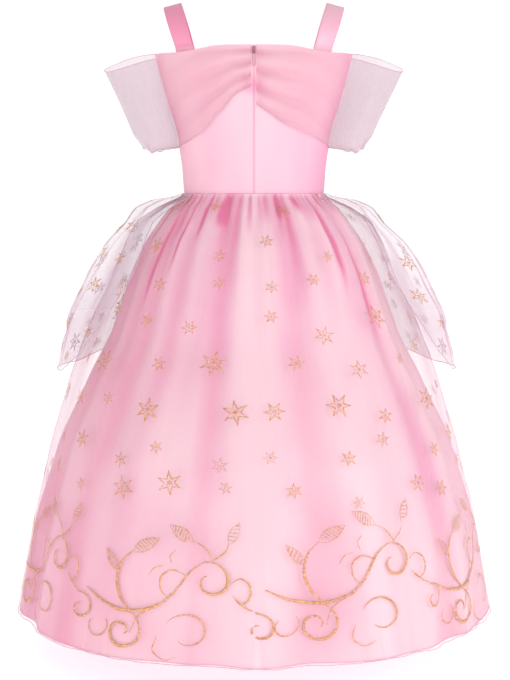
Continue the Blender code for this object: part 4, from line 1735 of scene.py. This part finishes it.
@dataclass
class Strap:
    """One satin shoulder strap, tucked inside the back and front necklines."""

    bodice: BodiceForm
    side: Side
    width: float = 0.028
    thickness: float = 0.0018
    angle: float = 50.0
    inset: float = 0.0038
    crest_x: float = 0.1227
    slope_deg: float = 15.0
    tuck: float = 0.012
    length: float = 0.225
    # Painted shade of the whole strap, set for each side by how the light falls on it.
    shade: float = 0.5
    steps: int = 91
    end_steps: int = 6
    columns: int = 15

    def middle(self, turn: Array, below: Array) -> Array:
        """Works out the line down the strap's middle, over the shoulder from back to front.

        Args:
            turn: Degrees over the shoulder: 0 at the back, 180 at the front.
            below: How far each point is tucked below the neckline.

        Returns:
            Its points.
        """
        root = self.bodice.point(np.full_like(turn, self.angle), self.bodice.back_neck_z - below, -self.inset)
        cos, sin = np.cos(np.radians(turn)), np.sin(np.radians(turn))
        x = mix(root[..., 0], self.crest_x, sin)
        z = mix(root[..., 2], self.thickness / 2, sin)
        return np.stack((x, root[..., 1] * cos, z), axis=-1)

    def cloth(self) -> Cloth:
        """Works out the left strap as a grid, its columns across and its rows along.

        Returns:
            The strap's outer face.
        """
        over = np.linspace(0, 180, self.steps)
        turn = np.concatenate((np.zeros(self.end_steps), over, np.full(self.end_steps, 180.0)))
        ends = np.linspace(self.tuck, self.tuck / self.end_steps, self.end_steps)
        below = np.concatenate((ends, np.zeros(self.steps), ends[::-1]))
        middle = self.middle(turn, below)
        along = np.gradient(middle, axis=0)
        along /= np.linalg.norm(along, axis=1, keepdims=True)
        cos, sin = math.cos(math.radians(self.angle)), math.sin(math.radians(self.angle))
        wide = float(self.bodice.read("wide", self.bodice.back_neck_z))
        deep = float(self.bodice.read("deep", self.bodice.back_neck_z))
        back = -deep * cos * np.cos(np.radians(turn))
        level = np.stack((np.full(len(turn), wide * sin), back, np.zeros(len(turn))), axis=-1)
        level /= np.linalg.norm(level, axis=1, keepdims=True)
        lean = np.radians(self.slope_deg)
        slope = np.array((math.cos(lean), 0.0, -math.sin(lean)))
        across = mix(level, slope, (np.sin(np.radians(turn)) ** 2)[:, None])
        across -= along * np.sum(across * along, axis=1, keepdims=True)
        across /= np.linalg.norm(across, axis=1, keepdims=True)
        up = np.cross(across, along)
        flip = np.sign(up[:, 0] * 0.3 + up[:, 1] * middle[:, 1] * 10 + up[:, 2])
        up *= flip[:, None]
        place = np.linspace(-0.5, 0.5, self.columns)
        bow = 0.0006 * (2 * place[None, :]) ** 2 * (1 - np.sin(np.radians(turn)))[:, None]
        soften = 0.0007 * np.clip(np.abs(2 * place) - 0.86, 0, 1)[None, :] / 0.14
        rise = self.thickness / 2 - bow - soften
        points = middle[:, None] + across[:, None] * (self.width * place)[None, :, None]
        points = points + up[:, None] * rise[..., None]
        length = np.concatenate(([0.0], np.cumsum(np.linalg.norm(np.diff(middle, axis=0), axis=1))))
        cut = np.stack(np.broadcast_arrays(self.width * place[None, :], length[:, None]), axis=-1)
        # Painted shade: the strap's level, and a crease line across it near the crest.
        shade = np.full(points.shape[:2], self.shade) + 0.3 * bump((turn - 82.0) / 7.0)[:, None]
        return Cloth("satin_strap_" + self.side.word, points[:, ::-1], cut[:, ::-1], self.thickness, shade)

    def build(self, room: Workroom) -> None:
        """Args:
            room: The finishes and tools.
        """
        cloth = self.cloth()
        outward = grid_normals(cloth.points)
        if np.mean(outward[len(outward) // 2, :, 2]) < 0:
            cloth.points = cloth.points[:, ::-1]
            cloth.cut = cloth.cut[:, ::-1]
            outward = grid_normals(cloth.points)
        if self.side is Side.RIGHT:
            cloth = cloth.mirrored()
            outward = grid_normals(cloth.points)
        piece = cloth.thicken(cloth.skin(room.satin))
        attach(piece, DRESS_BODY)
        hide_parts("strap_" + self.side.word)
        shown = slice(self.end_steps + 1, -self.end_steps - 1)
        for number, column in enumerate((1, self.columns - 2)):
            path = (cloth.points + outward * 0.0001)[shown, column]
            name = "strap_stitches_%s_%d" % (self.side.word, number)
            row = room.tool.row(name, path, room.stitch, room.thread)
            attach(row, DRESS_BODY)
        report(piece)


# Print


@dataclass(frozen=True)
class Stroke:
    """One brush stroke of the scroll border, in millimetres across and down its repeat."""

    points: tuple[tuple[float, float], ...]
    width: float
    thick_at: float = 0.5
    step: float = 3.0

    def path(self) -> Array:
        """Works out the stroke's middle line.

        Returns:
            Its points, smooth through the given ones.
        """
        given = np.asarray(self.points, float)
        held = np.vstack((2 * given[0] - given[1], given, 2 * given[-1] - given[-2]))
        parts = []
        for i in range(len(given) - 1):
            a, b, c, d = held[i : i + 4]
            steps = max(2, int(np.linalg.norm(c - b) / self.step))
            t = np.linspace(0, 1, steps, endpoint=False)[:, None]
            curved = (2 * a - 5 * b + 4 * c - d) * t**2 + (3 * b - a - 3 * c + d) * t**3
            parts.append(0.5 * (2 * b + (c - a) * t + curved))
        return np.vstack((*parts, given[-1:]))

    def strip(self) -> tuple[Array, Array]:
        """The stroke's left and right edges."""
        return strip_edges(self.path(), self.width, self.thick_at)


@dataclass(frozen=True)
class Curl:
    """A stroke that winds into a scroll round its centre."""

    centre: tuple[float, float]
    radius: float
    start_deg: float
    turns: float
    width: float
    last_radius: float = 5.0
    thick_at: float = 0.35

    def strip(self) -> tuple[Array, Array]:
        """Works out the curl.

        Returns:
            Its left and right edges.
        """
        t = np.linspace(0, 1, int(abs(self.turns) * 30) + 6)
        angle = np.radians(self.start_deg + 360.0 * self.turns * t)
        radius = mix(self.radius, self.last_radius, t**0.9)
        path = np.asarray(self.centre) + radius[:, None] * np.stack((np.cos(angle), np.sin(angle)), axis=-1)
        return strip_edges(path, self.width, self.thick_at)


@dataclass(frozen=True)
class Leaf:
    """A pointed leaf with slanted hatching inside its outline."""

    base: tuple[float, float]
    tip: tuple[float, float]
    width: float
    hatches: int = 6
    outline_width: float = 1.5
    hatch_width: float = 1.9

    def strips(self) -> list[tuple[Array, Array]]:
        """The outline's two strokes and the hatching.

        Returns:
            Left and right edges of each stroke.
        """
        base, tip = np.asarray(self.base, float), np.asarray(self.tip, float)
        along = tip - base
        across = np.array((-along[1], along[0])) / np.linalg.norm(along)
        t = np.linspace(0, 1, 12)
        swell = np.sin(math.pi * t**0.85)[:, None] * self.width / 2
        made = []
        for side in (1, -1):
            edge = base + along * t[:, None] + across * swell * side
            made.append(strip_edges(edge, self.outline_width, 0.5))
        for k in range(self.hatches):
            share = 0.16 + 0.66 * k / max(1, self.hatches - 1)
            half = math.sin(math.pi * share**0.85) * self.width / 2
            start = base + along * (share - 0.04) - across * half
            end = base + along * (share + 0.08) + across * half * 0.85
            made.append(strip_edges(np.linspace(start, end, 4), self.hatch_width, 0.5))
        return made


def strip_edges(path: Array, width: float, thick_at: float) -> tuple[Array, Array]:
    """Gives a line the width of a brush stroke, thickest at one share of its length.

    Args:
        path: The line's points.
        width: Its greatest width.
        thick_at: Where along it that is.

    Returns:
        Its left and right edges.
    """
    t = np.linspace(0, 1, len(path))
    grown = np.where(t < thick_at, t / max(thick_at, 1e-6), (1 - t) / max(1 - thick_at, 1e-6))
    widest = min(width, 1.0 + 0.62 * width) / 2
    half = widest * (0.30 + 0.70 * np.sin(np.clip(grown, 0, 1) * math.pi / 2))
    along = np.gradient(path, axis=0)
    along /= np.maximum(np.linalg.norm(along, axis=1, keepdims=True), 1e-9)
    across = np.stack((-along[:, 1], along[:, 0]), axis=-1)
    return path + across * half[:, None], path - across * half[:, None]


SCROLL_REPEAT: tuple[Any, ...] = (
    Stroke(((-16, 92), (20, 110), (60, 116), (98, 104), (122, 80), (140, 52), (160, 36)), 6.4, 0.4),
    Curl((168, 66), 30.0, -104, 0.95, 5.4, 10.0),
    Stroke(((138, 58), (118, 50), (102, 60), (102, 80), (112, 90), (122, 84)), 2.8, 0.5),
    Stroke(((60, 116), (44, 96), (36, 70), (42, 44), (58, 26)), 5.2, 0.35),
    Leaf((58, 27), (96, 4), 17.0, 7),
    Leaf((38, 60), (12, 28), 13.0, 5),
    Curl((50, 148), 32.0, -76, 1.30, 5.8, 6.0),
    Stroke(((96, 106), (72, 124), (62, 150)), 2.0, 0.3),
    Curl((140, 142), 30.0, 205, 0.80, 3.2, 17.0),
    Stroke(((168, 36), (186, 22), (192, 8)), 2.4, 0.3),
    Leaf((192, 9), (206, -24), 13.0, 5),
    Stroke(((172, 36), (158, 16), (142, 6)), 2.4, 0.3),
    Leaf((143, 7), (108, -16), 16.0, 7),
    Stroke(((196, 66), (208, 58), (220, 68), (220, 86), (210, 96), (202, 90)), 2.8, 0.6),
    Curl((232, 132), 24.0, 250, 1.05, 4.0, 5.0),
    Stroke(((230, 108), (214, 100), (198, 84)), 2.4, 0.5),
    Stroke(((100, 150), (96, 172), (112, 184), (128, 178)), 1.8, 0.4),
    Curl((8, 146), 20.0, -40, 0.75, 2.4, 11.0),
    Stroke(((84, 60), (92, 48), (104, 44)), 1.6, 0.5),
    Stroke(((120, 20), (112, 30), (116, 42)), 1.6, 0.5),
)


@dataclass
class Print:
    """The gold glitter print of the organza: outlined stars, and a border of scrolls and leaves."""

    form: SkirtForm
    material: Material
    lift: float = 0.00025
    film: float = 0.00012
    star_sizes_mm: tuple[float, ...] = (10.0, 12.0, 14.5, 18.5)
    star_drops: tuple[float, ...] = (0.022, 0.078, 0.132, 0.187, 0.243, 0.300, 0.358, 0.415)
    star_pitch: float = 0.082
    border_top: float = 0.462
    border_scale: float = 0.96
    repeats: int = 8
    repeat_mm: float = 256.0
    repeat_start: float = 0.12
    seed: int = 17
    drape_star_drops: tuple[float, ...] = (0.05, 0.105, 0.16, 0.215, 0.265)
    drape_star_pitch: float = 0.07

    def __post_init__(self) -> None:
        """Builds the trees and the star that they repeat."""
        self.star = self.star_outline()
        self.star_tree = self.build_tree("lay_stars", True)
        self.border_tree = self.build_tree("lay_border", False)

    def star_outline(self) -> Object:
        """One six-pointed star as a thin outline, 2 mm across before it is sized.

        Returns:
            A hidden flat object for the tree to repeat.
        """
        outer, inner = [], []
        for k in range(24):
            corner, part = divmod(k, 2)
            places = []
            for scale, notch in ((1.0, 0.40), (0.70, 0.27)):
                ends = []
                for c in (corner, corner + 1):
                    reach = scale if c % 2 == 0 else notch
                    angle = math.radians(30 * c)
                    ends.append(np.array((reach * math.cos(angle), reach * math.sin(angle))))
                places.append(mix(ends[0], ends[1], part / 2))
            outer.append(places[0])
            inner.append(places[1])
        spark = [mix(np.zeros(2), inner[k], 0.42) for k in range(0, 24, 2)]
        points = [(x * 0.001, y * 0.001, 0.0) for x, y in (*outer, *inner, *spark, np.zeros(2))]
        faces: list[tuple[int, ...]] = [(i, (i + 1) % 24, 24 + (i + 1) % 24, 24 + i) for i in range(24)]
        faces.extend((60, 48 + k, 48 + (k + 1) % 12) for k in range(12))
        return new_object("star_outline", points, (), faces)

    def build_tree(self, name: str, repeat: bool) -> NodeTree:
        """Builds the tree that lays a flat print on a cloth by the cloth's own flat map.

        Args:
            name: The tree's name.
            repeat: Whether the print is one motif set on points, each with its size and turn.

        Returns:
            The tree.
        """
        sockets = {"Cloth": "Object", "Motif": "Object", "Lift": "Float", "Material": "Material"}
        tree = new_geometry_tree(name, sockets)
        given = add_node(tree, "NodeGroupInput")
        flat = given.outputs["Geometry"]
        if repeat:
            motif = add_node(tree, "GeometryNodeObjectInfo", None, {"Object": given.outputs["Motif"]})
            size = self.own_map(tree, "size", "FLOAT")
            turn = add_node(tree, "ShaderNodeCombineXYZ", None, {"Z": self.own_map(tree, "turn", "FLOAT")})
            inputs = {"Points": flat, "Instance": motif.outputs["Geometry"]}
            inputs |= {"Rotation": turn.outputs["Vector"], "Scale": size}
            stars = add_node(tree, "GeometryNodeInstanceOnPoints", None, inputs)
            inputs = {"Geometry": stars.outputs["Instances"]}
            flat = add_node(tree, "GeometryNodeRealizeInstances", None, inputs).outputs["Geometry"]
        cloth = add_node(tree, "GeometryNodeObjectInfo", None, {"Object": given.outputs["Cloth"]})
        here = add_node(tree, "GeometryNodeInputPosition").outputs["Position"]
        facing = add_node(tree, "GeometryNodeInputNormal").outputs["Normal"]
        sample = {"Mesh": cloth.outputs["Geometry"], "UV Map": self.own_map(tree, "printed", "FLOAT_VECTOR")}
        sample["Sample UV"] = here
        kind = {"data_type": "FLOAT_VECTOR"}
        found, outward = (
            add_node(tree, "GeometryNodeSampleUVSurface", kind, sample | {"Value": value})
            for value in (here, facing)
        )
        inputs = {0: found.outputs["Is Valid"]}
        missed = add_node(tree, "FunctionNodeBooleanMath", {"operation": "NOT"}, inputs)
        inputs = {"Geometry": flat, "Selection": missed.outputs["Boolean"]}
        kept = add_node(tree, "GeometryNodeDeleteGeometry", {"domain": "POINT"}, inputs)
        inputs = {0: outward.outputs["Value"], "Scale": given.outputs["Lift"]}
        raised = add_node(tree, "ShaderNodeVectorMath", {"operation": "SCALE"}, inputs)
        inputs = {0: found.outputs["Value"], 1: raised.outputs["Vector"]}
        place = add_node(tree, "ShaderNodeVectorMath", {"operation": "ADD"}, inputs)
        inputs = {"Geometry": kept.outputs["Geometry"], "Position": place.outputs["Vector"]}
        laid = add_node(tree, "GeometryNodeSetPosition", None, inputs)
        finish_tree(tree, laid.outputs["Geometry"], given.outputs["Material"])
        return tree

    def own_map(self, tree: NodeTree, name: str, kind: str) -> NodeSocket:
        """Reads one of a mesh's own maps."""
        node = add_node(tree, "GeometryNodeInputNamedAttribute", {"data_type": kind}, {"Name": name})
        return node.outputs["Attribute"]

    def star_points(self, name: str, places: Array) -> Object:
        """Points for stars on a flat map, each with a size and a turn.

        Args:
            name: The object's name.
            places: Flat places in metres.

        Returns:
            The points.
        """
        picks = np.random.default_rng(self.seed + len(places))
        made = new_object(name, [(x, y, 0.0) for x, y in places])
        sizes = picks.choice(self.star_sizes_mm, len(places), p=(0.45, 0.3, 0.17, 0.08))
        turns = picks.uniform(0, math.pi / 3, len(places))
        for label, values in (("size", sizes), ("turn", turns)):
            layer = made.data.attributes.new(label, "FLOAT", "POINT")
            layer.data.foreach_set("value", values.astype(np.float32))
        return made

    def skirt_star_places(self) -> Array:
        """Scatters the skirt's stars in uneven staggered rows.

        Returns:
            Their flat places.
        """
        picks = np.random.default_rng(self.seed)
        places = []
        for row, drop in enumerate(self.star_drops):
            wide = float(self.form.read("sheer_wide", drop) + self.form.read("sheer_deep", drop)) / 2
            count = max(8, round(2 * math.pi * wide / self.star_pitch))
            for k in range(count):
                theta = (k + 0.5 * (row % 2) + picks.uniform(-0.28, 0.28)) * 360.0 / count
                low = drop + picks.uniform(-0.017, 0.017)
                places.append(self.form.printed(np.array(theta), np.array(low)))
        return np.array(places)

    def border_mesh(self, name: str) -> Object:
        """The whole scroll border on the skirt's flat map.

        Args:
            name: The object's name.

        Returns:
            Flat strips, one for each stroke.
        """
        points: list[tuple[float, float, float]] = []
        faces: list[tuple[int, int, int, int]] = []
        for k in range(self.repeats):
            high = self.border_top + 0.010 * math.sin(2.4 * k)
            for left, right in self.repeat_strips():
                start, count = len(points), len(left)
                for edge in (left, right):
                    share = (edge[:, 0] / self.repeat_mm + k + self.repeat_start) / self.repeats
                    drop = high + edge[:, 1] * 0.001 * self.border_scale / self.form.print_slant
                    points += [(x, y, 0.0) for x, y in self.form.printed(share * 360.0, drop)]
                for i in range(start, start + count - 1):
                    faces.append((i, i + 1, i + count + 1, i + count))
        return new_object(name, points, (), faces)

    def repeat_strips(self) -> list[tuple[Array, Array]]:
        """Works out all strokes of one repeat.

        Returns:
            Left and right edges of each.
        """
        strips = []
        for mark in SCROLL_REPEAT:
            strips += mark.strips() if isinstance(mark, Leaf) else [mark.strip()]
        return strips

    def lay(self, source: Object, tree: NodeTree, cloth: Object) -> Object:
        """Lays a flat print on a cloth and gives it the thickness of a printed film.

        Args:
            source: The flat print, or the points of its motifs.
            tree: The tree that lays it.
            cloth: The cloth's outer face, with its flat map.

        Returns:
            The print in place.
        """
        inputs = {"Cloth": cloth, "Motif": self.star, "Lift": self.lift, "Material": self.material}
        made = through_tree(source, tree, inputs)
        wall = made.modifiers.new("film", "SOLIDIFY")
        wall.thickness = self.film
        wall.offset = 0.0
        return made

    def lay_on(self, cloth: Object, word: str) -> list[Object]:
        """Lays the stars and the border on one overskirt panel.

        Args:
            cloth: The panel's outer face.
            word: The panel's word.

        Returns:
            The two prints.
        """
        stars = self.lay(self.star_points("stars_" + word, self.skirt_star_places()), self.star_tree, cloth)
        border = self.lay(self.border_mesh("scrolls_" + word), self.border_tree, cloth)
        for piece in (stars, border):
            report(piece)
        return [stars, border]

    def lay_on_drape(self, cloth: Object, side: Side) -> list[Object]:
        """Lays the stars on one side drape.

        Args:
            cloth: The drape's outer face.
            side: The side it hangs on.

        Returns:
            The print.
        """
        picks = np.random.default_rng(self.seed + 5 * side.value)
        places = []
        for row, down in enumerate(self.drape_star_drops):
            for k in range(-3, 4):
                across = (k + 0.5 * (row % 2)) * self.drape_star_pitch + picks.uniform(-0.016, 0.016)
                places.append((across, down + picks.uniform(-0.012, 0.012)))
        points = self.star_points("side_stars_" + side.word, np.array(places))
        return [self.lay(points, self.star_tree, cloth)]


# Zip


@dataclass
class Zip:
    """The closed nylon zip behind the centre back seam, and its enamelled slider and pull."""

    bodice: BodiceForm
    skirt: SkirtForm
    tooth_pitch: float = 0.0017
    end_drop: float = 0.080
    tooth_depth: float = 0.0024
    cord_depth: float = 0.0030
    skirt_slack: float = 0.0025
    top_steps: int = 40
    low_steps: int = 30

    def path(self, inside: float) -> Array:
        """Works out the line down the back behind the seam.

        Args:
            inside: How far it lies inside the satin's outer face.

        Returns:
            Its points.
        """
        z = np.linspace(self.bodice.back_neck_z - 0.004, WAIST_Z, self.top_steps)
        high = self.bodice.point(np.full(self.top_steps, 90.0), z, -inside)
        drop = np.linspace(0.002, self.end_drop, self.low_steps)
        deep = self.skirt.read("satin_deep", drop) - inside - self.skirt_slack
        low = self.skirt.place(np.full(self.low_steps, 90.0), drop, drop * 0, deep)
        return np.vstack((high, low))

    def build(self, room: Workroom) -> None:
        """Builds the teeth and their cord and dresses the slider and the pull.

        Args:
            room: The finishes and tools.
        """
        tooth = small_bead("tooth", ZIP_TOOTH)
        teeth = room.tool.row("zip_teeth", self.path(self.tooth_depth), tooth, room.nylon, self.tooth_pitch)
        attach(teeth, DRESS_BODY)
        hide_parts("zip_strip")
        cord = room.tool.rolled_edge("zip_cord", self.path(self.cord_depth), room.nylon)
        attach(cord, DRESS_BODY)
        for node in ("zip_slider", "zip_pull"):
            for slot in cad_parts[node].material_slots:
                slot.material = room.enamel
        bpy.data.objects.remove(tooth)
        report(teeth)


# Sewing


@dataclass
class Sewing:
    """The row of stitches above the waist seam, in three parts."""

    bodice: BodiceForm
    rise: float = 0.0032
    lift: float = 0.0002

    def build(self, room: Workroom) -> None:
        """Sews the row.

        Args:
            room: The finishes and tools.
        """
        for word, start, end, steps in (
            ("left", 0.5, 89.4, 120),
            ("right", 90.6, 179.5, 120),
            ("front", 180.5, 359.5, 240),
        ):
            theta = np.linspace(start, end, steps)
            path = self.bodice.point(theta, np.full_like(theta, WAIST_Z + self.rise), self.lift)
            row = room.tool.row("waist_stitches_" + word, path, room.stitch, room.thread)
            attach(row, DRESS_BODY)
            report(row)


# Studio


@dataclass
class Studio:
    """A white room with a paper floor, soft light and the camera of the picture."""

    floor_z: float = -0.985
    floor_radius: float = 6.0
    floor_glow: float = 0.60
    ambient: float = 0.675
    seen_white: float = 1.18
    distance: float = 2.20
    height: float = -0.263
    aim_x: float = -0.0016
    tilt_deg: float = 6.32
    focal_px: float = 1429.0
    frame_height_px: float = 680.0
    sensor_mm: float = 24.0
    lit_z: float = -0.45

    def build(self) -> None:
        """Builds the paper, the lights and the camera."""
        self.floor()
        self.backdrop()
        self.light("key", (-2.2, 2.2, 0.3), 1.3, 24.0, (0.985, 0.985, 0.965))
        self.light("fill", (2.3, 1.8, -0.2), 1.8, 8.0, (1.0, 0.95, 0.98))
        self.light("low", (0.0, 2.7, -0.9), 1.4, 3.0, (1.0, 0.98, 0.97))
        bpy.context.scene.view_settings.view_transform = "Standard"
        self.camera()

    def floor(self) -> None:
        """The paper: a wide round floor below the hem."""
        turns = np.linspace(0, 2 * math.pi, 64, endpoint=False)
        reach = self.floor_radius
        points = [(reach * math.cos(a), reach * math.sin(a), self.floor_z) for a in turns]
        paper = new_object("paper_floor", points, (), [tuple(range(len(points)))])
        looks = {
            "Base Color": linear("f4f2f3"),
            "Roughness": 0.9,
            "Emission Color": linear("fffdfe"),
            "Emission Strength": self.floor_glow,
        }
        paper.data.materials.append(Recipe("matt_studio_paper").finish(looks))

    def backdrop(self) -> None:
        """The room: white where it is seen, and a softer light on the dress."""
        world = bpy.context.scene.world or bpy.data.worlds.new("studio")
        bpy.context.scene.world = world
        world.use_nodes = True
        tree = world.node_tree
        seen = add_node(tree, "ShaderNodeLightPath")
        strength = add_node(
            tree,
            "ShaderNodeMapRange",
            None,
            {"Value": seen.outputs["Is Camera Ray"], "To Min": self.ambient, "To Max": self.seen_white},
        )
        sky = tree.nodes["Background"]
        sky.inputs["Color"].default_value = (1.0, 0.988, 0.992, 1.0)
        tree.links.new(strength.outputs["Result"], sky.inputs["Strength"])

    def light(
        self,
        name: str,
        place: tuple[float, float, float],
        size: float,
        power: float,
        colour: tuple[float, float, float],
    ) -> None:
        """Adds a soft square light that faces the dress.

        Args:
            name: The light's name.
            place: Where it stands.
            size: Its side.
            power: Its power in watts.
            colour: Its linear colour.
        """
        lamp = bpy.data.lights.new(name, "AREA")
        lamp.size = size
        lamp.energy = power
        lamp.color = colour
        holder = link_to_scene(bpy.data.objects.new(name, lamp))
        holder.location = place
        aim = Vector((0.0, 0.0, self.lit_z)) - Vector(place)
        holder.rotation_euler = aim.to_track_quat("-Z", "Y").to_euler()

    def camera(self) -> None:
        """Sets the camera where the picture was taken from."""
        lens = bpy.data.cameras.new("picture")
        lens.sensor_fit = "VERTICAL"
        lens.sensor_height = self.sensor_mm
        lens.lens = self.focal_px / self.frame_height_px * self.sensor_mm
        lens.clip_end = 50.0
        holder = link_to_scene(bpy.data.objects.new("picture", lens))
        holder.location = (self.aim_x, self.distance, self.height)
        holder.rotation_euler = (math.radians(90.0 - self.tilt_deg), 0.0, math.pi)
        bpy.context.scene.camera = holder


def main() -> None:
    """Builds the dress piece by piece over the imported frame."""
    logging.basicConfig(level=logging.INFO, format="%(name)s: %(message)s")
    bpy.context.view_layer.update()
    room = Workroom()
    skirts = Skirts()
    laid = Print(skirts.form, room.glitter)
    skirts.build(room, laid)
    skirts.hems(room)
    for side, reach, swing in ((Side.LEFT, 34.0, 0.0), (Side.RIGHT, 20.0, 0.008)):
        SideDrapes(skirts.form, side, reach, swing).build(room, laid)
    bodice = Bodice()
    bodice.build(room)
    # Painted shade: the left strap darker, the right one paler, as the light falls from the wearer's right.
    for side, shade in ((Side.LEFT, 0.72), (Side.RIGHT, 0.28)):
        Bertha(bodice.form, side).build(room)
        Strap(bodice.form, side, shade=shade).build(room)
    Zip(bodice.form, skirts.form).build(room)
    Sewing(bodice.form).build(room)
    for spare in (room.stitch, laid.star):
        bpy.data.objects.remove(spare)
    Studio().build()


if __name__ == "__main__":
    main()
